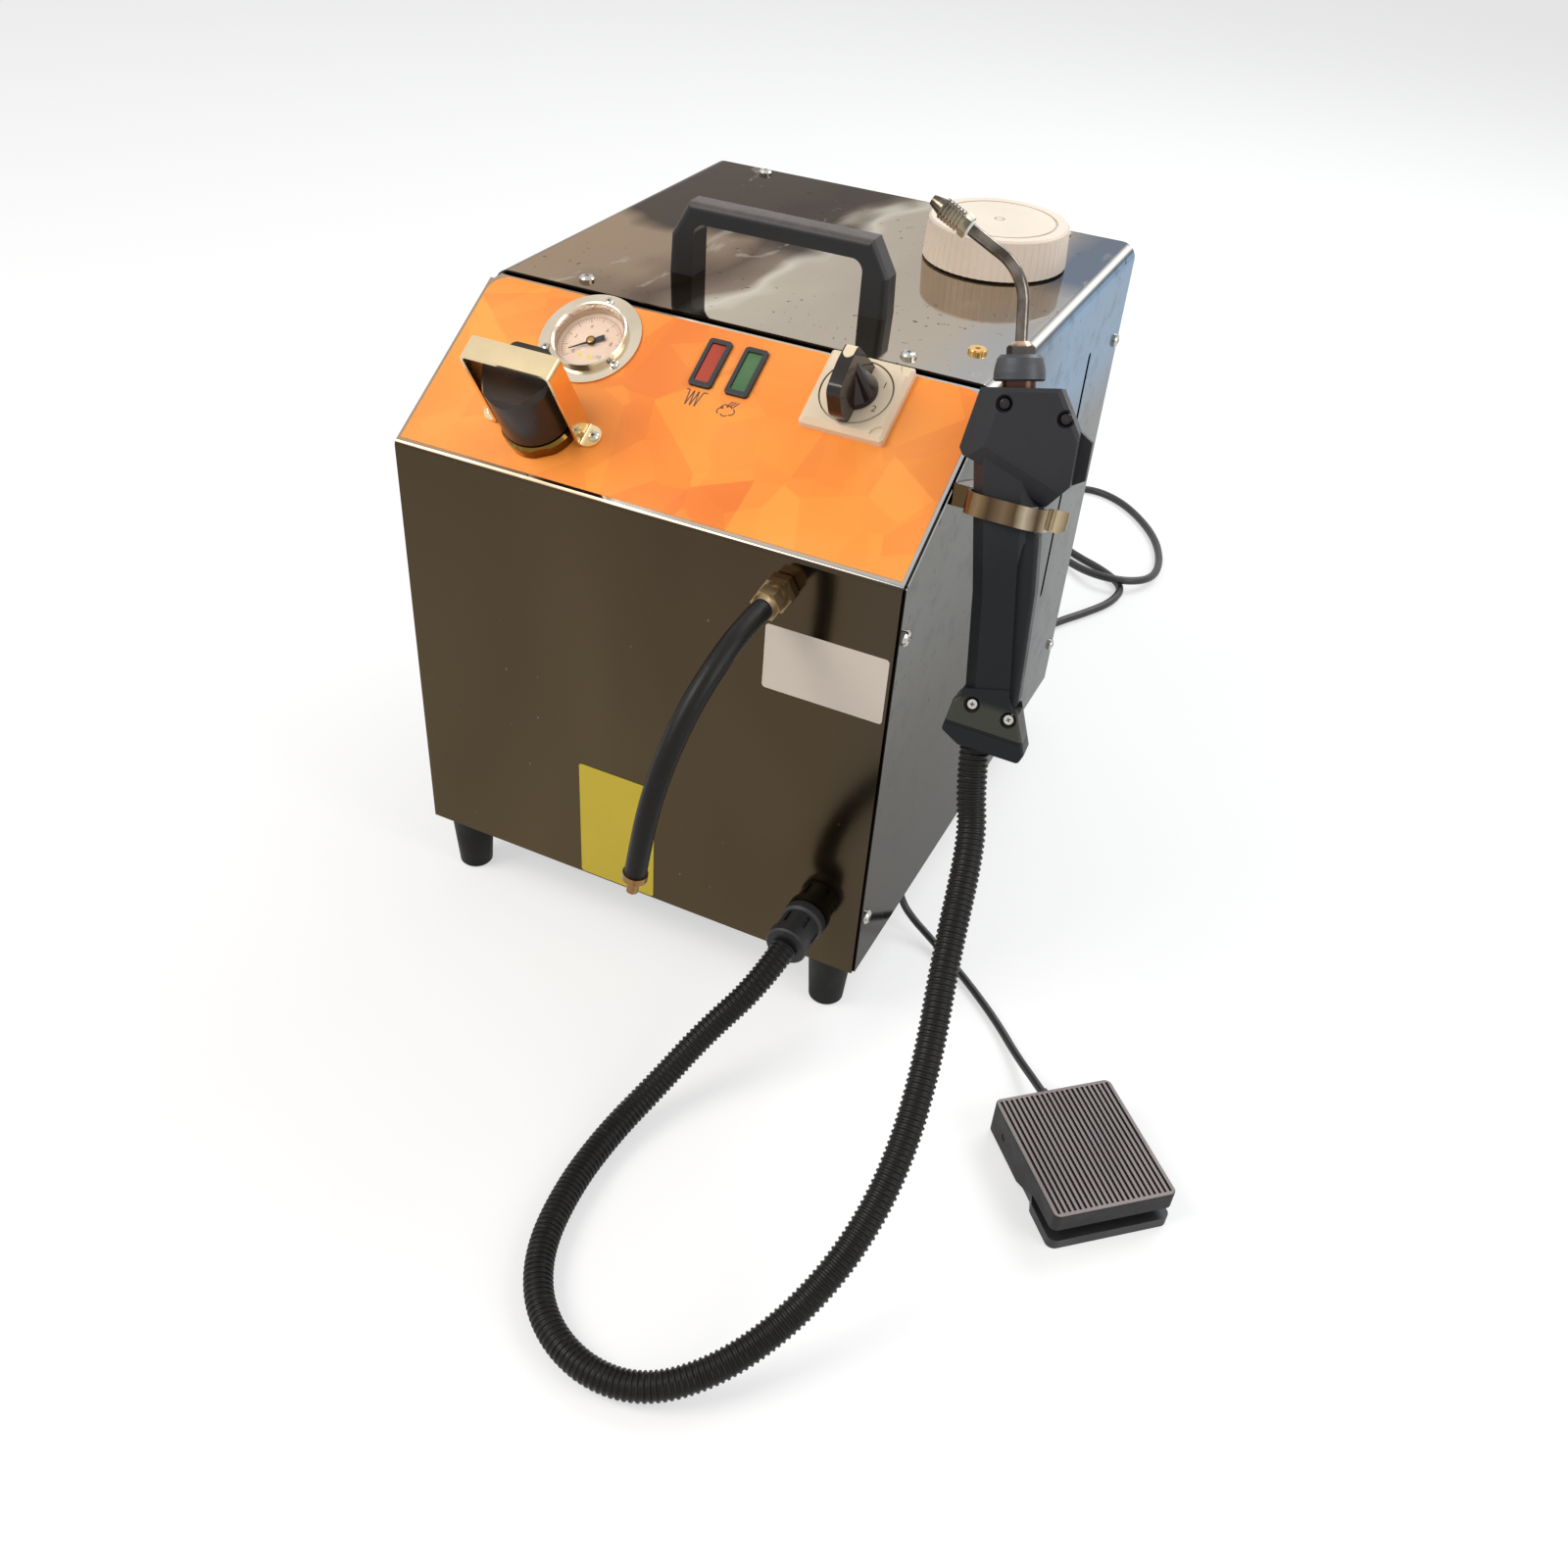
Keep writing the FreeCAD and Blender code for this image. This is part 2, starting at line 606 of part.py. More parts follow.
def top_cover():
    """Top and both sides bent from one sheet, cut to the side outline, with filler hole and level slot."""
    h = SHEET / 2
    mid = [(-XS + h, ZB), (-XS + h, ZT - h), (XS - h, ZT - h), (XS - h, ZB)]
    hood = sheet(mid, "XZ", YF, YB, COVER_BEND - h)
    slope = math.radians(SLOPE_DEG)
    y0 = YF + COVER_SETBACK
    z0 = ZF - COVER_SETBACK * math.tan((math.pi / 2 - slope) / 2)
    drop = COVER_SETBACK / math.cos(slope)
    z1 = ZT - COVER_BEND
    y1 = YF + (z1 + drop - ZF) / math.tan(slope)
    side = [(y0, ZB - 1), (YB, ZB - 1), (YB, ZT + 1), (COVER_FRONT, ZT + 1), (COVER_FRONT, z1 + 5),
            (y1, z1), (y0, z0)]
    hood = hood.common(flat(side, "YZ", -XS - 1, XS + 1))
    cuts = [rod(TANK_NECK_R + NECK_FIT, FILL_X, FILL_Y, ZT - 5, ZT + 5)]
    r = SLOT_W / 2
    z_lo = ZB + SLOT_UP
    y = YB - SLOT_Y_IN
    cuts.append(block(XS - 5, XS + 5, y - r, y + r, z_lo + r, z_lo + SLOT_L - r))
    cuts.append(bar(r, (XS - 5, y, z_lo + r), 10, X))
    cuts.append(bar(r, (XS - 5, y, z_lo + SLOT_L - r), 10, X))
    vx, vy = vent_place()
    cuts.append(rod(3.0, vx, vy, ZT - 5, ZT + 5))
    cuts += cover_screw_holes()
    for s in (-1, 1):
        cuts.append(rod(SHANK_R + 0.1, s * (HANDLE_HALF - HANDLE_LEG / 2), handle_y(), ZT - 5, ZT + 5))
    cuts += clip_screw_holes()
    return hood.cut(cuts)


def rear_panel():
    """Rear sheet with flanges turned forward on all four sides."""
    x = FRONT_X
    z1 = ZT - SHEET - NEST
    body = block(-x, x, REAR_Y - FLANGE, REAR_Y, ZB, z1)
    corner = COVER_BEND - SHEET
    middle = REAR_Y - FLANGE / 2
    body = rounded(body, corner, lambda c, e: c.z > z1 - 1 and near(abs(c.x), x) and near(c.y, middle))
    y0 = REAR_Y - FLANGE - 1
    y1 = REAR_Y - SHEET
    in_x = x - SHEET
    hollow = block(-in_x, in_x, y0, y1, ZB + SHEET, z1 - SHEET)
    in_top = z1 - SHEET - 1
    in_y = (y0 + y1) / 2
    hollow = rounded(hollow, corner - SHEET,
                     lambda c, e: c.z > in_top and near(abs(c.x), in_x) and near(c.y, in_y))
    body = body.cut(hollow)
    # the base tray's lip stands between the flanges, so the lower flange is notched away over its width
    body = body.cut(block(-in_x, in_x, y0, y1, ZB - 1, ZB + SHEET + 1))
    lead = mains_lead()[0]
    return body.cut(cover_screw_holes() + [bar(5.5, (lead[0], REAR_Y - 5, lead[2]), 10, Y)])


def foot_places():
    return [(sx * (XS - FOOT_X_IN), sy * (YB - FOOT_Y_IN)) for sx in (-1, 1) for sy in (-1, 1)]


def rubber_feet():
    feet = []
    profile = [(0, 0), (FOOT_BOTTOM_R - 1, 0), (FOOT_BOTTOM_R, 1.2), (FOOT_TOP_R, FOOT_H), (0, FOOT_H)]
    for x, y in foot_places():
        foot = turned(profile, x, y)
        foot = foot.cut([rod(FOOT_BORE_R, x, y, -1, FOOT_BORE_H), rod(FOOT_SCREW_R, x, y, 0, FOOT_H + 1)])
        feet.append(foot)
    return feet


def foot_screws():
    """One pan-head screw up through each foot into the tray."""
    return [pan_screw((x, y, FOOT_BORE_H), Z, FOOT_H - FOOT_BORE_H + SHEET + 3) for x, y in foot_places()]


def cover_screws():
    out = []
    for y, z in side_screw_places():
        out.append(pan_screw((XS, y, z), V(-1, 0, 0), 6))
        out.append(pan_screw((-XS, y, z), X, 6))
    for x, y in top_screw_places():
        out.append(pan_screw((x, y, ZT), V(0, 0, -1), 6))
    return out


def vent_plug():
    """Flat brass plug with a notched rim and a small centre hole, screwed through the cover."""
    x, y = vent_place()
    top = ZT + VENT_H
    head = turned([(0, ZT), (VENT_R, ZT), (VENT_R, top - 0.5), (VENT_R - 0.5, top), (0, top)], x, y)
    head = head.fuse(rod(2.95, x, y, ZT - 7, ZT)).removeSplitter()
    nut = hexagon(9.0, x, y, ZT - SHEET - 3.0, ZT - SHEET)
    cuts = [rod(1.4, x, y, ZT + 0.6, top + 1)]
    for i in range(VENT_NOTCHES):
        a = 2 * math.pi * i / VENT_NOTCHES
        cuts.append(rod(0.8, x + VENT_R * math.cos(a), y + VENT_R * math.sin(a), ZT - 0.1, top + 1))
    return head.fuse(nut).removeSplitter().cut(cuts)


def decal():
    """Thin printed sheet over the control panel, rounded at its upper corners."""
    w = 2 * FRONT_X - 2 * DECAL_MARGIN
    v0 = FRONT_BEND
    v1 = SLOPE_LEN - (SHEET + LEDGE_DROP) / math.sin(math.radians(SLOPE_DEG)) - 1.0
    body = block(-w / 2, w / 2, v0, v1, 0, DECAL_T)
    mid = DECAL_T / 2
    body = rounded(body, DECAL_CORNER, lambda c, e: near(c.z, mid) and c.y > v1 - 1 and near(abs(c.x), w / 2))
    return placed(body.cut(panel_holes()), PANEL)


def carry_handle():
    """Moulded bridge handle: chamfered shoulders, rounded grip opening, foot on each leg."""
    z0 = ZT
    z1 = ZT + HANDLE_H
    y0 = handle_y() - HANDLE_D / 2
    y1 = handle_y() + HANDLE_D / 2
    outline = [(-HANDLE_HALF, z0), (HANDLE_HALF, z0), (HANDLE_HALF - 1, z0 + HANDLE_SHOULDER),
               (HANDLE_TOP_HALF, z1), (-HANDLE_TOP_HALF, z1), (-HANDLE_HALF + 1, z0 + HANDLE_SHOULDER)]
    body = flat(outline, "XZ", y0, y1)
    inner = HANDLE_HALF - HANDLE_LEG
    hole = block(-inner, inner, y0 - 1, y1 + 1, z0 - 1, z1 - HANDLE_BAR)
    top = z1 - HANDLE_BAR
    hole = rounded(hole, HANDLE_GRIP_R, lambda c, e: near(c.z, top) and near(abs(c.x), inner))
    body = body.cut(hole)
    # the long edges along the legs and the bar's top are eased; those of the grip opening stay crisp
    body = rounded(body, HANDLE_EDGE * 2, lambda c, e: near(abs(c.y - handle_y()), HANDLE_D / 2)
                   and c.z > z0 + 1 and (abs(c.x) > inner + 1 or near(c.z, z1)))
    for s in (-1, 1):
        body = body.cut(rod(SHANK_R, s * (HANDLE_HALF - HANDLE_LEG / 2), handle_y(), z0 - 1, z0 + 12))
    return body


def handle_screws():
    out = []
    for s in (-1, 1):
        x = s * (HANDLE_HALF - HANDLE_LEG / 2)
        out.append(pan_screw((x, handle_y(), ZT - SHEET), Z, 12))
    return out


# ---------------------------------------------------------------- water tank
def water_tank():
    """Blow-moulded tank with rounded edges; its filler neck stands up through the cover."""
    body = block(TANK_X0, TANK_X1, TANK_Y0, TANK_Y1, SHELF_Z, TANK_Z1)
    body = body.makeFillet(TANK_R, body.Edges)
    w = TANK_WALL
    inside = block(TANK_X0 + w, TANK_X1 - w, TANK_Y0 + w, TANK_Y1 - w, SHELF_Z + w, TANK_Z1 - w)
    inside = inside.makeFillet(TANK_R - w, inside.Edges)
    neck = rod(TANK_NECK_R, FILL_X, FILL_Y, TANK_Z1 - w, NECK_Z)
    ox, oy = tank_outlet()
    spout = rod(5.0, ox, oy, SHELF_Z - 14, SHELF_Z + w)
    mouth = rod(TANK_NECK_R - w, FILL_X, FILL_Y, TANK_Z1 - 2 * w, NECK_Z + 1)
    drain = rod(3.0, ox, oy, SHELF_Z - 15, SHELF_Z + 2 * w)
    return body.fuse([neck, spout]).cut([inside, mouth, drain])


def tank_outlet():
    return TANK_X0 + 30, TANK_Y0 + 30


def tank_gasket():
    outer = rod(TCAP_R - 2.4, FILL_X, FILL_Y, ZT, ZT + GASKET_T)
    return outer.cut(rod(TANK_NECK_R + 0.1, FILL_X, FILL_Y, ZT - 1, ZT + GASKET_T + 1))


def tank_cap():
    """Large screw cap: ribbed tapered skirt, ring groove and a small centre ring on top."""
    z0 = ZT + GASKET_T + TCAP_GAP
    z1 = z0 + TCAP_H
    rings = []
    for z, r in ((z0, TCAP_R), (z1 - 2.5, TCAP_TOP_R)):
        pts = []
        for i in range(TCAP_RIBS):
            a = 2 * math.pi * i / TCAP_RIBS
            s = 2 * math.pi / TCAP_RIBS
            for k, rr in ((0.0, r), (0.5, r), (0.62, r - RIB_DEPTH), (0.88, r - RIB_DEPTH)):
                pts.append(V(FILL_X + rr * math.cos(a + k * s), FILL_Y + rr * math.sin(a + k * s), z))
        rings.append(Part.makePolygon(pts + [pts[0]]))
    skirt = Part.makeLoft(rings, True, True)
    top = TCAP_TOP_R - RIB_DEPTH
    lid = turned([(0, z1 - 2.6), (top, z1 - 2.6), (top, z1 - 1.2), (top - 1.2, z1), (0, z1)], FILL_X, FILL_Y)
    cap = skirt.fuse(lid)
    cavity = rod(TANK_NECK_R + NECK_FIT, FILL_X, FILL_Y, z0 - 1, z1 - TCAP_WALL)
    groove = turned([(34.0, z1 - 0.9), (35.6, z1 - 0.9), (35.6, z1 + 1), (34.0, z1 + 1)], FILL_X, FILL_Y)
    eye = turned([(2.2, z1 - 0.7), (3.4, z1 - 0.7), (3.4, z1 + 1), (2.2, z1 + 1)], FILL_X, FILL_Y)
    return cap.cut([cavity, groove, eye])


def tank_cap_liner():
    z1 = ZT + GASKET_T + TCAP_GAP + TCAP_H - TCAP_WALL
    return rod(TANK_NECK_R - 0.5, FILL_X, FILL_Y, z1 - LINER_T, z1)


def tank_shelf():
    """Bent sheet table that carries the tank over the pump."""
    h = SHEET / 2
    x0 = TANK_X0 + 4
    x1 = TANK_X1 - 2
    low = TRAY_TOP + h
    high = SHELF_Z - h
    mid = [(x0 - 12, low), (x0, low), (x0, high), (x1, high), (x1, low), (x1 - 12, low)]
    table = sheet(mid, "XZ", TANK_Y0 + 2, TANK_Y1 - 2, 1.8)
    ox, oy = tank_outlet()
    pump_y = pump_at()[1]
    nose = bar(9.5, (x0 - 5, pump_y, TRAY_TOP + 25), 10, X)
    return table.cut([rod(8.0, ox, oy, SHELF_Z - 5, SHELF_Z + 5), nose])


# ---------------------------------------------------------------- boiler
def neck_frame():
    """Frame on the panel at the boiler filler: z along the panel's outward normal."""
    return PANEL.multiply(FreeCAD.Placement(V(BOILER_X, FILLER_V, 0), FreeCAD.Rotation()))


def boiler_ports():
    """Upright bosses on the crown: (x, y) from the boiler axis."""
    return {"steam": (18.0, 22.0), "switch": (-24.0, 24.0), "relief": (38.0, -2.0)}


def crown_height(dx, dy):
    """Height of the crown's surface at an offset from the boiler axis."""
    ball = (BOILER_R ** 2 + BOILER_CROWN ** 2) / (2 * BOILER_CROWN)
    return CROWN_Z - ball + math.sqrt(ball ** 2 - dx * dx - dy * dy)


def boss_top():
    return CROWN_Z + 6


def neck_length():
    """From the panel to a little inside the crown, along the panel's normal."""
    slope = math.radians(SLOPE_DEG)
    mouth = point(neck_frame(), 0, 0, 0)
    return (mouth.z - BOILER_Z1) / math.cos(slope) - 4


def boiler():
    """Welded vessel with domed ends, slanting filler neck, port bosses and element opening."""
    at = FreeCAD.Placement(V(BOILER_X, BOILER_Y, 0), FreeCAD.Rotation())
    w = BOILER_WALL
    shell = placed(vessel(BOILER_R, BOILER_Z0, BOILER_Z1, BOILER_CROWN), at)
    inside = placed(vessel(BOILER_R - w, BOILER_Z0, BOILER_Z1, BOILER_CROWN - w), at)
    deep = neck_length()
    neck = placed(rod(NECK_R, 0, 0, -deep, NECK_TOP), neck_frame())
    bore = placed(rod(NECK_BORE_R, 0, 0, -deep - 8, NECK_TOP + 1), neck_frame())
    bosses = []
    bores = []
    for dx, dy in boiler_ports().values():
        z = crown_height(dx, dy)
        bosses.append(rod(PORT_R + 3, BOILER_X + dx, BOILER_Y + dy, z - 6, boss_top()))
        bores.append(rod(PORT_R, BOILER_X + dx, BOILER_Y + dy, z - 12, boss_top() + 1))
    seat = rod(ELEMENT_FLANGE_R, BOILER_X, BOILER_Y, element_top(), element_top() + 10)
    feed = bar(PORT_R + 2, (BOILER_X, BOILER_Y, BOILER_Z0 + 20), BOILER_R + 8, Y)
    whole = shell.fuse([neck, seat, feed] + bosses)
    mouth = rod(ELEMENT_R, BOILER_X, BOILER_Y, element_top() - 1, BOILER_Z0)
    feed_bore = bar(PORT_R - 2, (BOILER_X, BOILER_Y + BOILER_R - 20, BOILER_Z0 + 20), 40, Y)
    return whole.cut([inside, bore, mouth, feed_bore] + bores)


def element_top():
    return BOILER_Z0 - BOILER_CROWN - 2


def heating_element():
    """Flanged immersion heater: bolted flange, terminal cap and a hairpin rod in the water."""
    z = element_top()
    flange = rod(ELEMENT_FLANGE_R, BOILER_X, BOILER_Y, z - ELEMENT_FLANGE_T, z)
    plug = rod(ELEMENT_R - 0.2, BOILER_X, BOILER_Y, z, z + ELEMENT_PLUG_H)
    cap = rod(ELEMENT_CAP_R, BOILER_X, BOILER_Y, z - ELEMENT_FLANGE_T - ELEMENT_CAP_H, z - ELEMENT_FLANGE_T)
    left = BOILER_X - ELEMENT_HAIRPIN
    right = BOILER_X + ELEMENT_HAIRPIN
    foot = z + ELEMENT_PLUG_H / 2
    top = BOILER_Z0 + ELEMENT_REACH
    pts = [(left, BOILER_Y, foot), (left, BOILER_Y, top), (right, BOILER_Y, top), (right, BOILER_Y, foot)]
    hairpin = tube(pts, ELEMENT_ROD_R, radius=ELEMENT_HAIRPIN - 0.1)
    bolts = []
    ring = (ELEMENT_R + ELEMENT_FLANGE_R) / 2
    for i in range(ELEMENT_BOLTS):
        a = 2 * math.pi * (i + 0.5) / ELEMENT_BOLTS
        x = BOILER_X + ring * math.cos(a)
        y = BOILER_Y + ring * math.sin(a)
        bolts.append(hexagon(ELEMENT_BOLT_AF, x, y, z - ELEMENT_FLANGE_T - 4, z - ELEMENT_FLANGE_T))
    return flange.fuse([plug, cap, hairpin] + bolts).removeSplitter()


def boiler_bracket():
    """Clamp band round the vessel on three legs that stand on the tray."""
    z = BOILER_Z0 + BAND_UP
    band = rod(BOILER_R + BAND_T, BOILER_X, BOILER_Y, z, z + BAND_H)
    band = band.cut(rod(BOILER_R + 0.05, BOILER_X, BOILER_Y, z - 1, z + BAND_H + 1))
    low = TRAY_TOP + BAND_T / 2
    leg_r = BOILER_R + 0.9 + BAND_T
    outline = [(leg_r + LEG_TOE, low), (leg_r, low), (leg_r, z + BAND_H)]
    legs = []
    for a in (60, 180, 300):
        leg = sheet(outline, "XZ", -LEG_W / 2, LEG_W / 2, BAND_T, BAND_T)
        leg.rotate(V(0, 0, 0), Z, a)
        leg.translate(V(BOILER_X, BOILER_Y, 0))
        legs.append(leg)
    feed = bar(PORT_R + 3, (BOILER_X, BOILER_Y + BOILER_R - 5, BOILER_Z0 + 20), 20, Y)
    return band.fuse(legs).cut(feed)


def steam_valve_at():
    dx, dy = boiler_ports()["steam"]
    return BOILER_X + dx, BOILER_Y + dy


def steam_valve():
    """Solenoid valve: hex nipple in the boss, brass body and coil on top."""
    x, y = steam_valve_at()
    z = boss_top()
    nipple = rod(PORT_R - 0.05, x, y, z - 8, z).fuse(hexagon(18, x, y, z, z + 5))
    body = block(x - 12, x + 16, y - 12, y + 12, z + 5, z + 23)
    coil = pad(26, 30, z + 23, z + 40, 4.0, x + 2, y)
    stem = rod(5, x + 2, y, z + 40, z + 43)
    return nipple.fuse([body, coil, stem]).removeSplitter()


def pressure_switch():
    dx, dy = boiler_ports()["switch"]
    x, y = BOILER_X + dx, BOILER_Y + dy
    z = boss_top()
    nipple = rod(PORT_R - 0.05, x, y, z - 8, z).fuse(hexagon(16, x, y, z, z + 8))
    profile = [(0, 8), (13, 8), (14, 10), (14, 20), (10, 22), (10, 29), (0, 29)]
    cup = turned([(r, z + rise) for r, rise in profile], x, y)
    return nipple.fuse(cup).removeSplitter()


def safety_valve():
    """Spring-loaded relief valve with a side outlet towards the front fitting."""
    dx, dy = boiler_ports()["relief"]
    x, y = BOILER_X + dx, BOILER_Y + dy
    z = boss_top()
    nipple = rod(PORT_R - 0.05, x, y, z - 8, z).fuse(hexagon(17, x, y, z, z + 6))
    body = turned([(0, z + 6), (8, z + 6), (8, z + 22), (6, z + 24), (6, z + 30), (0, z + 30)], x, y)
    side = bar(5.5, (x, y, z + 14), 14, X)
    return nipple.fuse([body, side]).removeSplitter()


def filler_collar():
    """Brass hexagonal collar screwed on the filler neck, against the panel."""
    body = hexagon(COLLAR_AF, 0, 0, DECAL_T, COLLAR_H, 30)
    cone = turned([(0, DECAL_T - 1), (COLLAR_R, DECAL_T - 1), (COLLAR_R, COLLAR_H - 2),
                   (COLLAR_R - 2, COLLAR_H + 1), (0, COLLAR_H + 1)])
    return placed(body.common(cone).cut(rod(NECK_R + 0.05, 0, 0, -1, COLLAR_H + 2)), neck_frame())


def six_sided(across, z):
    """Six-sided outline at a height, given its size across flats."""
    reach = across / math.sqrt(3)
    turns = [math.radians(60 * i) for i in range(6)]
    ring = [V(reach * math.cos(a), reach * math.sin(a), z) for a in turns]
    return Part.makePolygon(ring + [ring[0]])


def boiler_cap():
    """Deep screw cap with a flat top and a six-sided bevel round it."""
    z0 = COLLAR_H + BCAP_GAP
    bevel_z = BCAP_TOP - BCAP_CROWN
    body = turned([(0, z0), (BCAP_R - 0.8, z0), (BCAP_R, z0 + 0.8), (BCAP_R, BCAP_TOP), (0, BCAP_TOP)])
    rings = [six_sided(2 * BCAP_R, bevel_z), six_sided(2 * (BCAP_R - BCAP_BEVEL), BCAP_TOP)]
    keep = Part.makeLoft(rings, True).fuse(rod(BCAP_R + 1, 0, 0, z0 - 1, bevel_z))
    body = body.common(keep)
    cavity = rod(NECK_R + BCAP_FIT, 0, 0, z0 - 1, NECK_TOP + SEAL_T + 0.5)
    return placed(body.cut(cavity), neck_frame())


def boiler_cap_seal():
    z0 = NECK_TOP + 0.3
    return placed(rod(NECK_R - 0.2, 0, 0, z0, NECK_TOP + SEAL_T + 0.5), neck_frame())


def cap_guard():
    """Bent steel hoop over the filler cap, with rounded feet."""
    h = GUARD_T / 2
    leg = GUARD_SPAN / 2 - h
    base = DECAL_T + h
    top = GUARD_TOP - h
    mid = [(-GUARD_FOOT, base), (-leg, base), (-leg, top), (leg, top), (leg, base), (GUARD_FOOT, base)]
    hoop = sheet(mid, "XZ", -GUARD_W / 2, GUARD_W / 2, GUARD_BEND, GUARD_T)
    centre = GUARD_FOOT - GUARD_W / 2
    keep = block(-centre, centre, -GUARD_W, GUARD_W, -1, GUARD_TOP + 1)
    keep = keep.fuse([rod(GUARD_W / 2, s * centre, 0, -1, GUARD_TOP + 1) for s in (-1, 1)])
    hoop = hoop.common(keep)
    holes = [rod(SHANK_R * 0.75 + 0.05, s * GUARD_SCREW, 0, -1, 5) for s in (-1, 1)]
    return placed(hoop.cut(holes), neck_frame())


def guard_screws():
    out = []
    z = DECAL_T + GUARD_T
    for s in (-1, 1):
        screw = pan_screw((s * GUARD_SCREW, 0, z), V(0, 0, -1), 7, 3.0, 2.0, SHANK_R * 0.75 - 0.05)
        out.append(placed(screw, neck_frame()))
    return out


# ---------------------------------------------------------------- gauge, lamps, switch
def gauge_frame():
    return PANEL.multiply(FreeCAD.Placement(V(GAUGE_X, GAUGE_V, 0), FreeCAD.Rotation()))


def gauge_screw_places():
    ring = [math.radians(a) for a in (90, -30, -150)]
    return [(GAUGE_X + GAUGE_SCREW_R * math.cos(a), GAUGE_V + GAUGE_SCREW_R * math.sin(a)) for a in ring]


def glass_bottom():
    return DECAL_T + GAUGE_RIM_H - GAUGE_GLASS_T - 1.2


def gauge_case():
    """Drawn case with a flat flange, a raised bead and an inward cone that holds the glass."""
    d = DECAL_T
    r = GAUGE_CASE_R
    w = GAUGE_WALL
    top = d + GAUGE_RIM_H
    glass = glass_bottom() + GAUGE_GLASS_T
    lip = r - w - GAUGE_LIP
    profile = [(0, -GAUGE_CASE_DEPTH), (r, -GAUGE_CASE_DEPTH), (r, d), (GAUGE_FLANGE_R, d),
               (GAUGE_FLANGE_R, d + GAUGE_FLANGE_T), (GAUGE_RIM_R, d + GAUGE_FLANGE_T),
               (GAUGE_RIM_R - 0.5, top - 0.6), (GAUGE_RIM_R - 1.1, top), (GAUGE_RIM_R - 1.8, top - 0.2),
               (lip, glass), (lip, glass - 0.05), (r - w, glass - 0.05),
               (r - w, w - GAUGE_CASE_DEPTH), (0, w - GAUGE_CASE_DEPTH)]
    case = turned(profile)
    stem = rod(5.0, 0, 0, -GAUGE_CASE_DEPTH - 10, -GAUGE_CASE_DEPTH)
    nut = hexagon(12.0, 0, 0, -GAUGE_CASE_DEPTH - 5, -GAUGE_CASE_DEPTH)
    spindle = rod(SPINDLE_R, 0, 0, -GAUGE_CASE_DEPTH + w, needle_height() + NEEDLE_T)
    holes = [rod(1.25, x - GAUGE_X, y - GAUGE_V, d - 1, d + 3) for x, y in gauge_screw_places()]
    case = case.fuse([stem, nut, spindle]).removeSplitter()
    return placed(case.cut(holes), gauge_frame())


def needle_height():
    return -DIAL_DEPTH + NEEDLE_GAP


def gauge_dial():
    z = -DIAL_DEPTH - DIAL_T
    disc = rod(GAUGE_CASE_R - GAUGE_WALL - 0.05, 0, 0, z, z + DIAL_T)
    return placed(disc.cut(rod(SPINDLE_R + 0.3, 0, 0, z - 1, z + DIAL_T + 1)), gauge_frame())


def gauge_glass():
    z = glass_bottom()
    disc = rod(GAUGE_CASE_R - GAUGE_WALL - 0.05, 0, 0, z - 0.05, z - 0.05 + GAUGE_GLASS_T)
    return placed(disc, gauge_frame())


def gauge_needle():
    """Needle with a broad tail and a brass hub; at rest it points down and to the left."""
    z = needle_height()
    blade = flat([(NEEDLE_L, -0.15), (NEEDLE_L, 0.15), (2.5, 0.55), (-4.5, 1.5), (-8.0, 1.5), (-8.0, -1.5),
                  (-4.5, -1.5), (2.5, -0.55)], "XY", z, z + NEEDLE_T)
    hub = rod(2.6, 0, 0, z, z + 1.6)
    needle = blade.fuse(hub).cut(rod(SPINDLE_R + SHAFT_FIT, 0, 0, z - 1, z + NEEDLE_T))
    needle.rotate(V(0, 0, 0), Z, NEEDLE_REST)
    return placed(needle, gauge_frame())


def gauge_screws():
    z = DECAL_T + GAUGE_FLANGE_T
    screws = [pan_screw((x, y, z), V(0, 0, -1), 5, 2.6, 1.7, 1.2) for x, y in gauge_screw_places()]
    return [placed(screw, PANEL) for screw in screws]


def gauge_pipe():
    """Capillary from the gauge's stem to the top of the filler neck's root on the vessel."""
    start = point(gauge_frame(), 0, 0, -GAUGE_CASE_DEPTH - 10)
    heading = gauge_frame().Rotation.multVec(V(0, 0, -1))
    dx, dy = -14.0, -20.0
    foot = V(BOILER_X + dx, BOILER_Y + dy, crown_height(dx, dy) - 1.2)
    drop = start + heading * 10
    pts = [start, drop, V(foot.x, foot.y, foot.z + 26), foot]
    nut = rod(4.5, foot.x, foot.y, foot.z - 1, foot.z + 6)
    return tube([tuple(p) for p in pts], 2.0, radius=7.0).fuse(nut)


def lamp_bezels():
    """Two snap-in lamp bodies with black bezels."""
    out = []
    for x in (RED_X, GREEN_X):
        rim = pad(LAMP_W, LAMP_L, DECAL_T, DECAL_T + LAMP_RIM_H, LAMP_CORNER, x, LAMP_V)
        rim = rounded(rim, 0.6, lambda c, e: abs(c.z - DECAL_T - LAMP_RIM_H) < 0.01)
        body = pad(LAMP_W - 2.3, LAMP_L - 2.3, -LAMP_BODY_DEPTH, DECAL_T, 0.9, x, LAMP_V)
        tabs = [pad_flat(0.8, 6.0, -LAMP_BODY_DEPTH - 7, -LAMP_BODY_DEPTH, x + s, LAMP_V) for s in (-3, 3)]
        top = DECAL_T + LAMP_RIM_H
        window = pad(LENS_W + 2 * LAMP_FIT, LENS_L + 2 * LAMP_FIT, -4, top + 1, 0.8, x, LAMP_V)
        out.append(placed(rim.fuse([body] + tabs).cut(window), PANEL))
    return out


def lamp_lens(x):
    lens = pad(LENS_W, LENS_L, -4, DECAL_T + LENS_H, 0.7, x, LAMP_V)
    return placed(lens, PANEL)


def switch_frame():
    return PANEL.multiply(FreeCAD.Placement(V(SWITCH_X, SWITCH_V, 0), FreeCAD.Rotation()))


def plate_top():
    return DECAL_T + PLATE_H


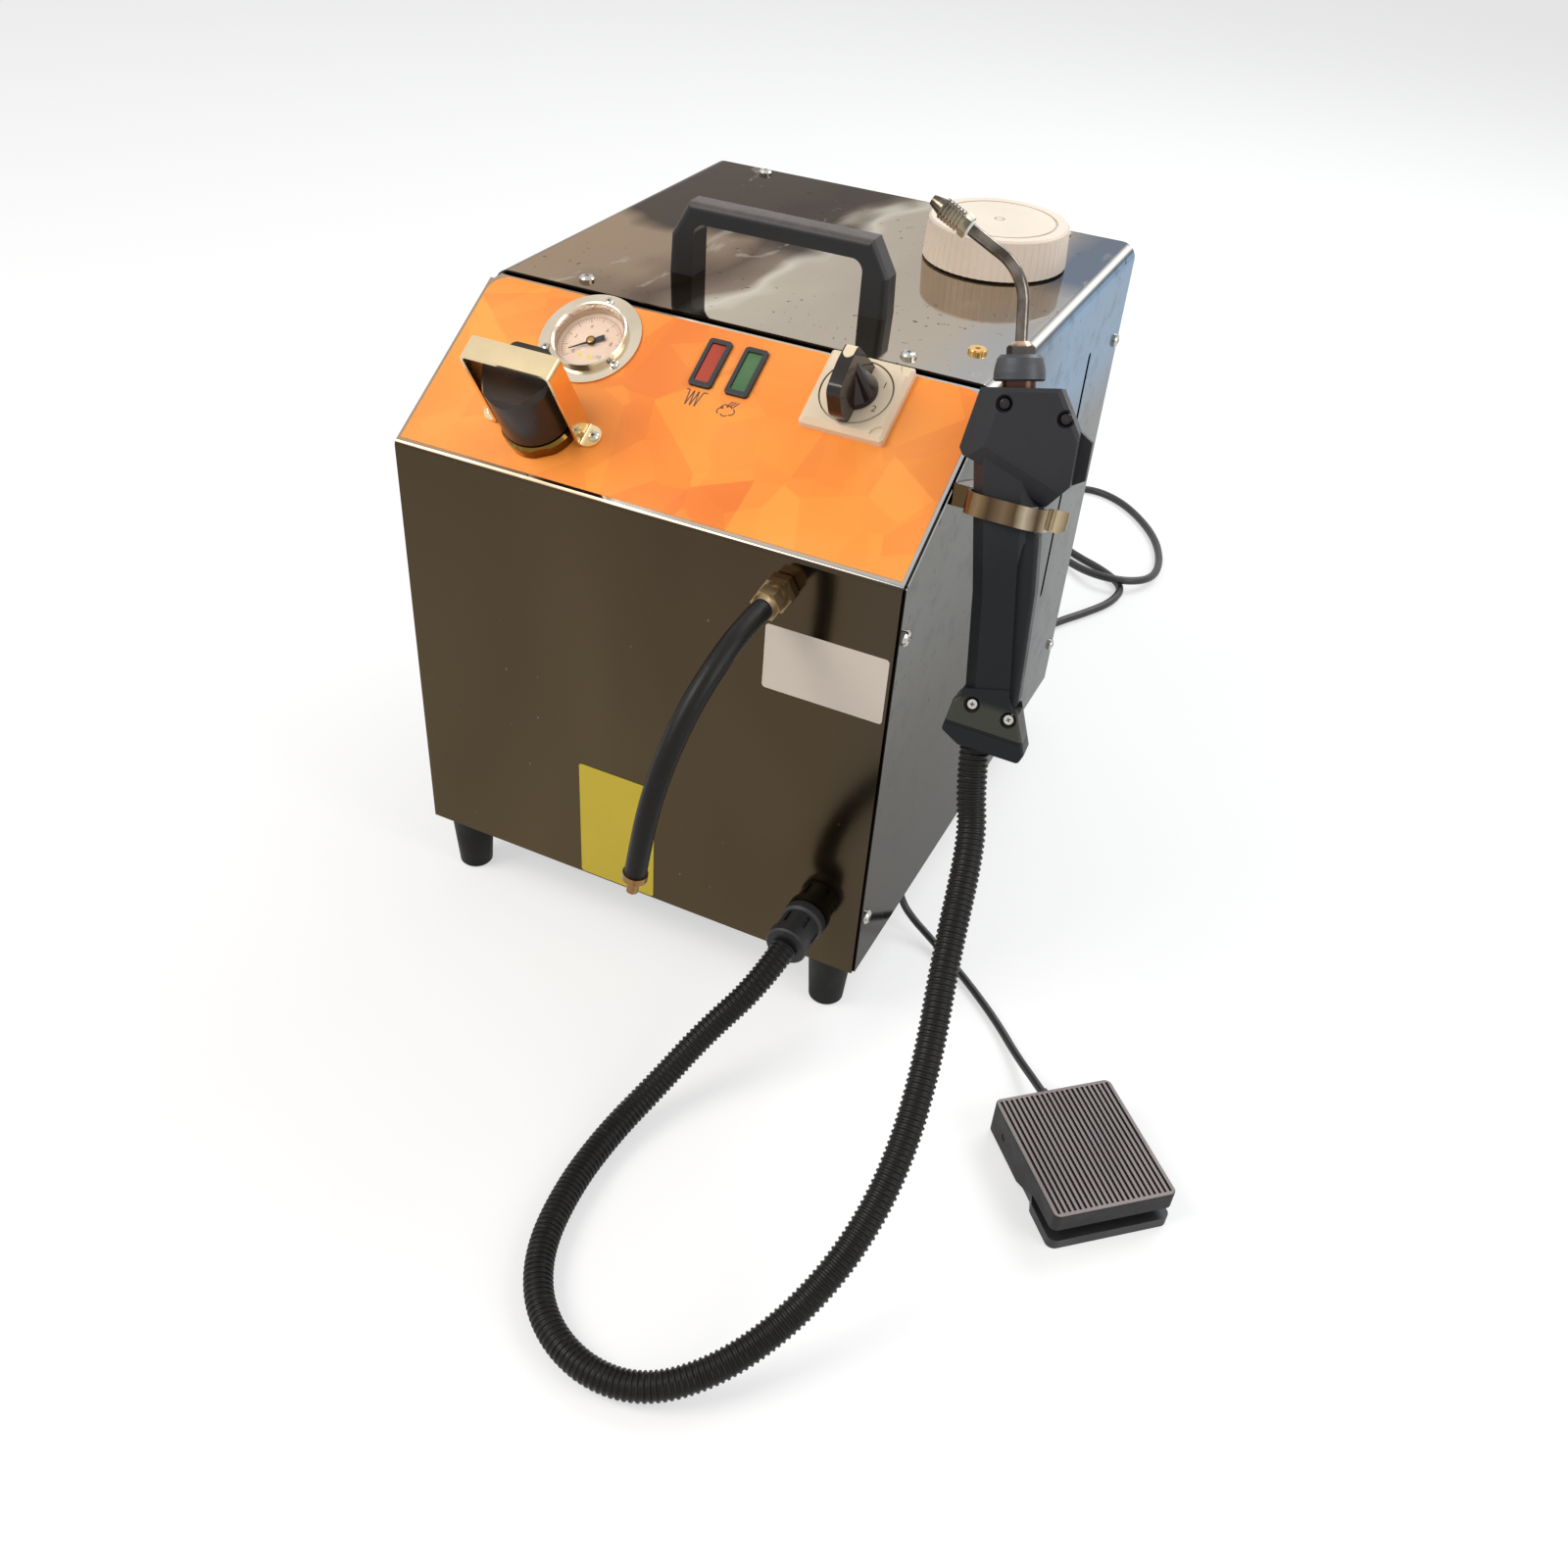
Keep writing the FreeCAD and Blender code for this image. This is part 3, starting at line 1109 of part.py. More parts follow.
def shaft_top():
    return plate_top() + KNOB_GAP + SHAFT_IN_KNOB


def square(half, z):
    ring = [V(sx * half, sy * half, z) for sx, sy in ((-1, -1), (1, -1), (1, 1), (-1, 1))]
    return Part.makePolygon(ring + [ring[0]])


def switch_plate():
    """Square escutcheon with domed edges, a ring groove and a scooped lower edge."""
    z1 = plate_top()
    half = PLATE / 2
    z_edge = z1 - PLATE_BEVEL
    bevel = Part.makeLoft([square(half, z_edge), square(half - PLATE_EDGE, z1)], True, True)
    body = pad_flat(PLATE, PLATE, DECAL_T, z_edge).fuse(bevel).removeSplitter()
    inside = half - PLATE_EDGE - 0.1
    body = rounded(body, 2.0, lambda c, e: abs(c.x) > inside and abs(c.y) > inside)
    groove = rod(DISC_R + DISC_GROOVE, 0, 0, z1 - 0.8, z1 + 1).cut(rod(DISC_R, 0, 0, z1 - 1, z1 + 2))
    hole = rod(SHAFT_R + 1.0, 0, 0, -2, z1 + 1)
    scoops = [rod(5.5, half - 2.0, s * (half - 2.0), z1 - 1.2, z1 + 1) for s in (-1, 1)]
    return placed(body.cut([groove, hole] + scoops), switch_frame())


def switch_body():
    """Cam switch behind the panel, with its shaft through plate and panel."""
    b = SWITCH_BODY
    body = pad(b, b, -SHEET - SWITCH_BODY_DEPTH, -SHEET, 2.0)
    waist = pad(b + 3, b - 12, -SHEET - SWITCH_BODY_DEPTH + 6, -SHEET - 10, 2.0)
    shaft = rod(SHAFT_R, 0, 0, -SHEET - 5, shaft_top())
    return placed(body.fuse([waist, shaft]).removeSplitter(), switch_frame())


def knob_outline(z0):
    """Outline of the fin in YZ: bulged ends and an arched top."""
    foot = V(0, KNOB_FOOT, z0)
    bulge = V(0, KNOB_HALF, z0 + KNOB_SHOULDER / 2)
    shoulder = V(0, KNOB_HALF - 1.5, z0 + KNOB_SHOULDER)
    crown = V(0, 0, z0 + KNOB_H)
    other = [V(0, -p.y, p.z) for p in (foot, bulge, shoulder)]
    edges = [Part.makeLine(other[0], foot), Part.Arc(foot, bulge, shoulder).toShape(),
             Part.Arc(shoulder, crown, other[2]).toShape(), Part.Arc(other[2], other[1], other[0]).toShape()]
    return Part.Face(Part.Wire(edges))


def switch_knob():
    """Pointer knob: a tall arched fin on a flared round hub."""
    z0 = plate_top() + KNOB_GAP
    fin = knob_outline(z0).extrude(V(KNOB_W, 0, 0))
    fin.translate(V(-KNOB_W / 2, 0, 0))
    fin = fin.makeFillet(KNOB_EDGE, [e for e in fin.Edges if e.CenterOfMass.z > z0 + 1])
    rim = V(KNOB_HUB_R, 0, z0 + KNOB_HUB_RIM)
    waist = V(KNOB_HUB_R * 0.56, 0, z0 + KNOB_FLARE * 0.4)
    neck = V(KNOB_W / 2 - 0.2, 0, z0 + KNOB_FLARE)
    axis = [V(0, 0, neck.z), V(0, 0, z0), V(KNOB_HUB_R, 0, z0), rim]
    side = [Part.Arc(rim, waist, neck).toShape()] + Part.makePolygon([neck] + axis).Edges
    hub = Part.Face(Part.Wire(side)).revolve(V(0, 0, 0), Z, 360)
    knob = fin.fuse(hub).cut(rod(SHAFT_R + SHAFT_FIT, 0, 0, z0 - 1, shaft_top() + 0.1))
    return placed(knob, switch_frame())


# ---------------------------------------------------------------- front fittings
def relief_fitting():
    """Brass compression fitting: bulkhead hex, body and gland nut."""
    af = RELIEF_NUT_AF
    nut = hexagon(af + 2, 0, 0, 0, 5)
    neck = rod(PORT_R, 0, 0, -14, 9)
    gland = hexagon(af, 0, 0, 8, 16)
    lip = turned([(0, 16), (af / 2 - 0.4, 16), (RHOSE_R + 0.3, RELIEF_OUT), (0, RELIEF_OUT)])
    back = hexagon(af, 0, 0, -SHEET - 4, -SHEET)
    body = nut.fuse([neck, gland, lip, back]).removeSplitter()
    body.rotate(V(0, 0, 0), X, 90)
    body.translate(V(RELIEF_X, YF, RELIEF_Z))
    return body


def relief_route():
    """The stiff hose springs out from the fitting and droops until it hangs."""
    y = YF - RELIEF_OUT
    z = RELIEF_Z
    out = [(RELIEF_X, y, z)]
    steps = ((20, 5, 1), (22, 20, 2), (24, 38, 4), (25, 54, 4), (26, 67, 4), (26, 78, 3), (24, 87, 3))
    for step, droop, aside in steps:
        a = math.radians(droop)
        x = out[-1][0] - aside
        y -= step * math.cos(a)
        z -= step * math.sin(a)
        out.append((x, y, z))
    return out


def relief_sleeve():
    """Thicker cuff and copper outlet at the hose's lower end."""
    a, b = [V(*p) for p in relief_route()[-2:]]
    down = (b - a).normalize()
    cuff = Part.makeCylinder(RHOSE_R + 0.8, 4, b, down)
    pipe = Part.makeCylinder(3.2, 13, b, down)
    bore = Part.makeCylinder(2.2, 16, b, down)
    return cuff.fuse(pipe).cut(bore)


def hose_connector():
    """Slotted conduit connector: bulkhead nut, slotted body between two collars."""
    n = CONN_OUT
    profile = [(0, -12), (CONN_R - 2, -12), (CONN_R - 2, 0), (13.0, 0), (13.5, 1), (13.5, 6),
               (CONN_R, 7.5), (CONN_R, n - 8), (13.0, n - 7), (13.0, n - 1), (12.0, n), (0, n)]
    body = turned(profile)
    body = body.fuse(hexagon(27, 0, 0, -SHEET - 6, -SHEET))
    slots = []
    for i in range(6):
        a = 60 * i
        cut = block(CONN_R - 1.5, CONN_R + 2, -1.2, 1.2, 9.5, n - 10)
        cut.rotate(V(0, 0, 0), Z, a)
        slots.append(cut)
    body = body.cut(slots)
    body.rotate(V(0, 0, 0), X, 90)
    body.translate(V(CONN_X, YF, CONN_Z))
    return body


# ---------------------------------------------------------------- pipes, pump
def steam_pipe():
    """From the solenoid valve's side down to the back of the hose connector."""
    x, y = steam_valve_at()
    z = boss_top() + 14
    end_y = YF + 12
    pts = [(x + 16, y, z), (x + 55, y, z), (x + 55, y, CONN_Z), (CONN_X, y, CONN_Z), (CONN_X, end_y, CONN_Z)]
    return tube(pts, PIPE_R, PIPE_R - PIPE_WALL, PIPE_BEND)


def relief_pipe():
    dx, dy = boiler_ports()["relief"]
    x = BOILER_X + dx + 14
    y = BOILER_Y + dy
    z = boss_top() + 14
    pts = [(x, y, z), (x + 38, y, z), (x + 38, y - 30, RELIEF_Z), (RELIEF_X, y - 30, RELIEF_Z),
           (RELIEF_X, YF + 14, RELIEF_Z)]
    return tube(pts, PIPE_R, PIPE_R - PIPE_WALL, 10.0)


def pump_at():
    ox, oy = tank_outlet()
    return ox + 12, oy + 45


def feed_pump():
    """Vibration pump in its rubber-footed frame, inlet up to the tank, outlet to the boiler."""
    x, y = pump_at()
    z = TRAY_TOP + 6
    frame = pad(50, 34, z, z + 38, 3.0, x, y)
    nose = bar(9, (x - 43, y, z + 19), 18, X)
    tail = bar(11, (x + 25, y, z + 19), 14, X)
    feet = [rod(6, x + s * 17, y, TRAY_TOP, z) for s in (-1, 1)]
    return frame.fuse([nose, tail] + feet).removeSplitter()


def suction_pipe():
    """Clear hose from the tank's spout to the pump's tail."""
    ox, oy = tank_outlet()
    x, y = pump_at()
    z = TRAY_TOP + 25
    pts = [(ox, oy, SHELF_Z - 14), (ox, oy, z), (x + 60, oy, z), (x + 60, y, z), (x + 39, y, z)]
    return tube(pts, 4.5, 3.0, 10.0)


def feed_pipe():
    x, y = pump_at()
    z = TRAY_TOP + 25
    bz = BOILER_Z0 + 20
    by = BOILER_Y + BOILER_R + 8
    pts = [(x - 43, y, z), (BOILER_X, y, z), (BOILER_X, by + 22, bz), (BOILER_X, by, bz)]
    return tube(pts, 3.9, 2.9, 9.0)


# ---------------------------------------------------------------- steam gun
def bevel(shape, a, b, half, inward, deep):
    """Bevels both edges of a plate-like body along its clockwise outline from a to b, drawn in XZ."""
    ax, az = a
    bx, bz = b
    run = math.hypot(bx - ax, bz - az)
    tx, tz = (bx - ax) / run, (bz - az) / run
    nx, nz = -tz, tx
    for side in (-1, 1):
        y_face = side * half
        inner = V(ax - nx * inward, y_face, az - nz * inward)
        outer = V(ax, y_face - side * deep, az)
        line = outer - inner
        corner = [inner - line * 0.4, outer + line * 0.4, V(ax + nx * 12, side * (half + 12), az + nz * 12)]
        back = V(-tx * 15, 0, -tz * 15)
        corner = [c + back for c in corner]
        along = V(tx * (run + 30), 0, tz * (run + 30))
        wedge = Part.Face(Part.makePolygon(corner + [corner[0]])).extrude(along)
        shape = shape.cut(wedge)
    return shape


def grip_blank():
    """Tapering grip: a flat ridge down the front and rear, bevelled to the sides."""
    rings = []
    t = GRIP_T
    for z, left, right in ((26.0, -18.2, 17.9), (-40.0, -15.6, 16.6), (-98.0, -17.2, 10.8)):
        side = t - 0.7 * (right - 6.9)
        flank = [(left, 5), (left + 6, t), (6.9, t), (right, side)]
        pts = [V(x, y, z) for x, y in flank] + [V(x, -y, z) for x, y in reversed(flank)]
        rings.append(Part.makePolygon(pts + [pts[0]]))
    return Part.makeLoft(rings, True, True)


HEAD = [(-16.1, 58.1), (22.9, 57.3), (32.6, 36.2), (29.8, 12.1), (18.6, 2.3), (-18.0, 24.0), (-23.2, 26.4),
        (-25.2, 30)]
HEEL = [(26, 13.5), (29.8, 12.1), (35.9, 14.3), (38.2, 32.2), (32.6, 37.2), (26, 40)]
FOOT = [(-17.2, -88), (-17.6, -91.1), (-22, -93.8), (-27.4, -109.8), (-18.8, -117.6), (12.4, -126),
        (15.5, -121.2), (10.9, -99.3), (10.6, -88)]


def gun_blank():
    """Whole housing before it is split: head, grip and flared foot."""
    head = flat(HEAD, "XZ", -HEAD_T, HEAD_T)
    head = bevel(head, HEAD[7], HEAD[0], HEAD_T, 12.5, 9.0)
    head = bevel(head, HEAD[4], HEAD[5], HEAD_T, 9.0, 5.0)
    head = bevel(head, HEAD[1], HEAD[2], HEAD_T, 2.0, 2.0)
    head = bevel(head, HEAD[0], HEAD[1], HEAD_T, 2.0, 1.5)
    foot = flat(FOOT, "XZ", -GRIP_T - 1, GRIP_T + 1)
    foot = foot.makeFillet(2.0, [e for e in foot.Edges if e.CenterOfMass.z < -92])
    return head.fuse([grip_blank(), foot])


def hose_exit():
    """Where the hose leaves the gun's foot: local point and outward direction."""
    (x0, z0), (x1, z1) = FOOT[4], FOOT[5]
    x = -11.2
    z = z0 + (z1 - z0) * (x - x0) / (x1 - x0)
    return V(x, 0, z), V(-0.12, 0, -0.993)


GUN_SCREWS = [(-12.1, -96.3), (6.6, -103.4), (-3.4, 50.4), (26.0, 43.4)]
SEAM = [(22, -9.5), (14, -10.5), (9, -16), (6.8, -26), (6.5, -92), (8.5, -98.0), (22, -101)]
POCKET = [(4.6, 2.0), (14.8, 2.0), (14.8, -9.5), (22, -9.5), (22, -101), (-4.0, -101), (3.6, -9)]
LEVER = [(5.4, -4), (13.6, -8.4), (14.2, -10.6), (16.2, -12.4), (15.9, -40), (10.7, -95), (9.0, -98.6),
         (4.6, -98.6)]
PIVOT = (10.2, -4.0)


def gun_cuts():
    """Everything taken out of the housing: lever pocket, screw wells, neck bore and hose socket."""
    cuts = [flat(SEAM, "XZ", -20, 20), flat(POCKET, "XZ", -TRIG_T - TRIG_FIT, TRIG_T + TRIG_FIT)]
    for x, z in GUN_SCREWS:
        face = HEAD_T if z > 0 else GRIP_T + 1
        cuts.append(bar(4.25, (x, -face - 1, z), 4.5, Y))
        cuts.append(bar(1.5, (x, -face - 1, z), face + 9, Y))
    cuts.append(rod(LANCE_R + PIVOT_FIT, LANCE_X, 0, COLLAR_Z - 22, COLLAR_Z))
    cuts.append(rod(8.5, LANCE_X, 0, COLLAR_Z - 7.2, COLLAR_Z + 4))
    start, away = hose_exit()
    cuts.append(Part.makeCylinder(HOSE_R + 0.1, 36, start - away * 6, away))
    px, pz = PIVOT
    cuts.append(bar(TRIG_PIN_R, (px, -GRIP_T + 1.6, pz), 2 * GRIP_T - 3.2, Y))
    return cuts


def gun_half(side):
    """One moulded half of the housing; the rear half carries the stepped heel of the head."""
    y0, y1 = sorted((side * HALVES_GAP / 2, side * 40))
    body = gun_blank()
    if side > 0:
        heel = flat(HEEL, "XZ", 0, HEAD_T - 3)
        body = body.fuse(heel)
    body = body.common(block(-60, 60, y0, y1, -150, 90))
    return placed(body.cut(gun_cuts()), GUN)


def gun_trigger():
    """Squeeze lever that fills the grip's right side, with a bored pivot eye at the top."""
    t = TRIG_T
    body = flat(LEVER, "XZ", -t, t)
    body = rounded(body, 3.0, lambda c, e: abs(abs(c.y) - t) < 0.01 and c.x > 12.0 and c.z < -12)
    px, pz = PIVOT
    body = body.fuse(bar(4.4, (px, -t, pz), 2 * t, Y))
    body = body.cut(bar(TRIG_PIN_R + PIVOT_FIT, (px, -t - 1, pz), 2 * t + 2, Y))
    return placed(body, GUN)


def gun_pin():
    px, pz = PIVOT
    return placed(bar(TRIG_PIN_R, (px, -GRIP_T + 1.8, pz), 2 * GRIP_T - 3.6, Y), GUN)


def gun_screws():
    out = []
    for x, z in GUN_SCREWS:
        face = (HEAD_T if z > 0 else GRIP_T + 1) - 3.5
        out.append(placed(pan_screw((x, -face, z), Y, face + 6, 3.1, 1.9, 1.45), GUN))
    return out


def gun_bush():
    bore = rod(LANCE_R + PIVOT_FIT, LANCE_X, 0, COLLAR_Z - 12, COLLAR_Z + 2)
    return placed(rod(8.4, LANCE_X, 0, COLLAR_Z - 7, COLLAR_Z).cut(bore), GUN)


def gun_collar():
    """Tapered heat guard on the neck, rounded at its rims."""
    bore = LANCE_R + PIVOT_FIT
    profile = [(bore, 0), (11.8, 0), (12.6, 0.8), (12.5, 4), (11.9, 7.5), (11.0, 10.6), (9.6, COLLAR_L),
               (bore, COLLAR_L)]
    return placed(turned([(r, COLLAR_Z + z) for r, z in profile], LANCE_X, 0), GUN)


def gun_nut():
    z = COLLAR_Z + COLLAR_L
    cone = turned([(0, z), (7.2, z), (7.2, z + 3.0), (4.4, z + 6), (0, z + 6)], LANCE_X, 0)
    body = hexagon(12, LANCE_X, 0, z, z + 6).common(cone)
    return placed(body.cut(rod(LANCE_R + PIVOT_FIT, LANCE_X, 0, z - 1, z + 7)), GUN)


def lance_end():
    """End of the bent lance and its heading, in the gun's frame."""
    a = math.radians(LANCE_ANGLE)
    heading = V(-math.sin(a), 0, math.cos(a))
    bend_end = V(LANCE_X - LANCE_BEND + LANCE_BEND * math.cos(a), 0, LANCE_RISE + LANCE_BEND * math.sin(a))
    return bend_end + heading * LANCE_TIP, heading


def gun_lance():
    end, heading = lance_end()
    a = math.radians(LANCE_ANGLE)
    corner = V(LANCE_X, 0, LANCE_RISE + LANCE_BEND * math.tan(a / 2))
    pts = [(LANCE_X, 0, COLLAR_Z - 20), tuple(corner), tuple(end + heading * 10)]
    return placed(tube(pts, LANCE_R, LANCE_BORE, LANCE_BEND), GUN)


def nozzle_frame():
    end, heading = lance_end()
    return GUN.multiply(FreeCAD.Placement(end, FreeCAD.Rotation(Z, heading)))


def gun_nozzle():
    """Finned steam nozzle: hex, cooling fins and a tapered tip."""
    r = LANCE_R + PIVOT_FIT
    z = 5.5
    profile = [(r, WASHER_T), (4.6, WASHER_T), (4.6, z)]
    for _ in range(NOZZLE_FINS):
        profile += [(3.8, z), (3.8, z + 0.9), (5.1, z + 0.9), (5.1, z + 1.9)]
        z += 1.9
    profile += [(4.2, z), (2.4, z + 6.5), (1.2, z + 6.5), (1.2, 10.1), (r, 10.1)]
    hexed = hexagon(9.6, 0, 0, WASHER_T, 4.8).cut(rod(r, 0, 0, 0, 7))
    return placed(turned(profile).fuse(hexed).removeSplitter(), nozzle_frame())


def nozzle_washer():
    return placed(rod(3.9, 0, 0, 0, WASHER_T).cut(rod(LANCE_R + PIVOT_FIT, 0, 0, -1, 3)), nozzle_frame())


def clip_screw_ys():
    return [16.0, 30.0]


def gun_clip():
    """Polished strap: foot on the cabinet side, ear, hoop round the grip and a free ear with a cut corner."""
    h = CLIP_T / 2
    wall = -GUN_OFF_SIDE + h
    ear_y = 3.0
    side = CLIP_IN + h
    front = -CLIP_FRONT - h
    mid = [(wall, CLIP_FOOT_L), (wall, ear_y), (-side, ear_y), (-side, front), (side, front), (side, ear_y),
           (side + CLIP_EAR, ear_y)]
    bends = [CLIP_BEND, CLIP_BEND, CLIP_ROUND, CLIP_ROUND, CLIP_BEND]
    strap = sheet(mid, "XY", -CLIP_H / 2, CLIP_H / 2, bends, CLIP_T)
    low = -CLIP_H / 2 - 1
    nick = flat([(side + 5, low), (side + 12, low), (side + 12, low + 6)], "XZ", 0, 8)
    holes = [bar(1.6, (wall - 3, y, 0), 6, X) for y in clip_screw_ys()]
    return placed(strap.cut([nick] + holes), CLIP)


def clip_screws():
    out = []
    for y in clip_screw_ys():
        out.append(placed(pan_screw((-GUN_OFF_SIDE + CLIP_T, y, 0), V(-1, 0, 0), 6, 3.0, 2.0, 1.5), CLIP))
    return out


# ---------------------------------------------------------------- foot pedal
def pedal_base():
    """Low base, narrower under the cover's skirt, with pivot ears and a lead boot at the rear."""
    half = PED_W / 2
    narrow = half - PED_WALL - PED_FIT
    yb = PED_L / 2
    rear = yb - PED_WALL - PED_FIT - 0.8
    right = [(half, -yb), (half, PED_STEP), (narrow, PED_STEP + 6), (narrow, rear)]
    outline = right + [(-x, y) for x, y in reversed(right)]
    plate = flat(outline, "XY", 0, PED_BASE_H)
    plate = rounded(plate, 5.0, lambda c, e: near(abs(c.x), half) and near(c.y, -yb))
    ears = []
    for s in (-1, 1):
        x0, x1 = sorted((s * (narrow - 6), s * (narrow - 0.2)))
        ear = block(x0, x1, PED_PIVOT_Y - 6, PED_PIVOT_Y + 6, PED_BASE_H, PED_PIVOT_Z)
        stud = bar(PED_PIN_R, (min(0, s * (half - 0.6)), PED_PIVOT_Y, PED_PIVOT_Z), half - 0.6, X)
        stud = stud.cut(block(-narrow + 1, narrow - 1, -PED_L, PED_L, 0, PED_TOP))
        ears += [ear, bar(6.0, (x0, PED_PIVOT_Y, PED_PIVOT_Z), x1 - x0, X), stud]
    wall = block(-8, 8, rear - 3, rear, PED_BASE_H, PED_PIVOT_Z + 3)
    boot = Part.makeCone(4.2, 3.4, pedal_boot_end() - rear, V(0, rear, 12), Y)
    base = plate.fuse(ears + [wall, boot]).removeSplitter()
    return placed(base, PEDAL)


def pedal_boot_end():
    """Local y where the lead leaves the boot."""
    return PED_L / 2 + 9.0


def pedal_cover():
    """Ribbed cover: shell with a deep rear skirt, a shallow front skirt and lengthwise grooves."""
    half = PED_W / 2
    yb = PED_L / 2
    w = PED_WALL
    y0 = -yb + 1.5
    top_f = PED_TOP + PED_RISE
    front = top_f - PED_SKIRT_FRONT
    side = [(y0, front), (y0 + 24, front - 0.8), (y0 + 36, 6.0), (y0 + 44, PED_LOW), (yb, PED_LOW),
            (yb, PED_TOP), (y0, top_f)]
    body = flat(side, "YZ", -half, half)
    body = rounded(body, 4.0, lambda c, e: near(abs(c.x), half) and (near(c.y, y0) or near(c.y, yb)))
    body = rounded(body, 1.0, lambda c, e: c.z > PED_TOP - 0.2)
    inner = [(y0 + w, -1), (yb - w, -1), (yb - w, PED_TOP - w), (y0 + w, top_f - w)]
    body = body.cut(flat(inner, "YZ", -half + w, half - w))
    pitch = (PED_W - 2 * PED_MARGIN - PED_GROOVE_W) / (PED_GROOVES - 1)
    slope = math.atan2(PED_RISE, yb - y0)
    groove_l = yb - y0 - 2 * PED_MARGIN
    grooves = []
    for i in range(PED_GROOVES):
        x = (i - (PED_GROOVES - 1) / 2) * pitch
        groove = block(x - PED_GROOVE_W / 2, x + PED_GROOVE_W / 2, 0, groove_l, -PED_GROOVE_D, 3)
        groove.rotate(V(0, 0, 0), X, -math.degrees(slope))
        groove.translate(V(0, y0 + PED_MARGIN, top_f - PED_MARGIN * math.tan(slope)))
        grooves.append(groove)
    body = body.cut(grooves)
    pin = bar(PED_PIN_R + PIVOT_FIT, (-half - 1, PED_PIVOT_Y, PED_PIVOT_Z), PED_W + 2, X)
    notch = block(-6.5, 6.5, yb - w - 1, yb + 1, 0, 12).fuse(bar(6.5, (0, yb - w - 1, 12), w + 2, Y))
    return placed(body.cut([pin, notch]), PEDAL)


def pedal_switch():
    """Micro-switch with its plunger under the cover."""
    body = block(-10, 10, 0, 7, PED_BASE_H, PED_BASE_H + 9.5)
    plunger = rod(1.5, 4, 3.5, PED_BASE_H + 9.5, PED_BASE_H + 11.5)
    return placed(body.fuse(plunger), PEDAL)


# ---------------------------------------------------------------- cords
def pedal_gland_at():
    """(x, y) of the pedal lead's gland under the tray, near the cabinet's right side."""
    return XS - 10.0, YF + 100.0


def pedal_gland():
    x, y = pedal_gland_at()
    head = rod(5.2, x, y, ZB - 2.5, ZB).fuse(Part.makeCone(3.7, 4.6, 5.0, V(x, y, ZB - 7.5), Z))
    shank = rod(3.4, x, y, ZB, TRAY_TOP + 5)
    nut = hexagon(10, x, y, TRAY_TOP, TRAY_TOP + 3)
    return head.fuse([shank, nut]).removeSplitter()


def pedal_lead():
    start = point(PEDAL, 0, pedal_boot_end(), 12)
    away = PEDAL.Rotation.multVec(V(0, 1, 0))
    x, y = pedal_gland_at()
    end = V(x, y, ZB - 7.5)
    first = start + away * 14 + V(0, 0, -2.5)
    return [tuple(start), tuple(first), (260, -170, 4.5), (240, -148, 2.8), (217, -128, 2.8),
            (194, -111, 3.6), (174, -99, 6.4), (159, -93, 11.4), (x + 3.9, y, 20.0), tuple(end)]


def steam_hose():
    """Route of the corrugated hose from the connector to the gun's foot."""
    y = YF - CONN_OUT
    start, away = hose_exit()
    foot = GUN.multVec(start)
    down = GUN.Rotation.multVec(away)
    head = [(CONN_X, y, CONN_Z), (CONN_X - 4, y - 26, CONN_Z - 11), (98, -275, 39), (85, -307, 19),
            (75, -345, 9.5), (74, -388, 8.2), (82, -431, 8.2), (103, -462, 8.2), (136, -478, 8.2),
            (170, -475, 9.5), (199, -453, 18), (222, -419, 33), (237, -382, 56), (242, -343, 82),
            (237, -300, 112), (226, -258, 146)]
    tail = [tuple(foot + down * 48 + V(8.5, -3.5, 0)), tuple(foot + down * 24 + V(1.6, 0, 0)), tuple(foot)]
    return head + tail


def mains_lead():
    """Route of the mains lead: rear panel, down to the floor, loops behind the cabinet, hank."""
    z = MLEAD_R + 0.2
    mid = z + 7.4
    x, y = coil_place()
    edge = x + COIL_R + COIL_BUNDLE_R
    return [(88, REAR_Y + 24, 78), (88, REAR_Y + 46, 75), (90, REAR_Y + 64, 60), (94, REAR_Y + 78, 38),
            (101, REAR_Y + 92, 17), (112, 306, z + 2), (126, 341, z), (143, 369, z), (158, 399, z),
            (160, 431, z), (136, 452, z), (104, 466, z), (72, 488, z), (46, 520, z), (36, 558, z),
            (46, 594, z), (76, 612, z), (108, 602, z), (138, 574, z), (163, 538, z), (178, 496, z),
            (180, 456, z + 3), (163, 430, mid), (134, 426, mid), (107, 444, z + 2), (78, 466, z),
            (44, 476, z), (16, 460, z), (8, 428, z), (20, 400, z), (x + COIL_R + 26, y + 34, z + 2),
            (edge + 5, y + 8, COIL_BUNDLE_R), (edge + 0.3, y - 16, COIL_BUNDLE_R)]


def coil_place():
    return -20.0, YB + 130.0


def mains_coil():
    """Closed outer shape of the hank of spare lead."""
    x, y = coil_place()
    return Part.makeTorus(COIL_R, COIL_BUNDLE_R, V(x, y, COIL_BUNDLE_R + 0.1), Z)


def mains_plug():
    """Moulded earthed plug: body, grip neck and two round pins."""
    x, y = plug_place()
    z = PLUG_R + 0.1
    body = Part.makeCylinder(PLUG_R, 26.0, V(x, y, z), V(-1, 0, 0))
    neck = Part.makeCone(13.0, 6.5, PLUG_NECK_L, V(x, y, z), X)
    pins = [Part.makeCylinder(2.4, 19.0, V(x - 26, y + s * 9.5, z), V(-1, 0, 0)) for s in (-1, 1)]
    return body.fuse([neck] + pins)


def plug_place():
    x, y = coil_place()
    return x - COIL_R - COIL_BUNDLE_R - PLUG_NECK_L + 4.0, y


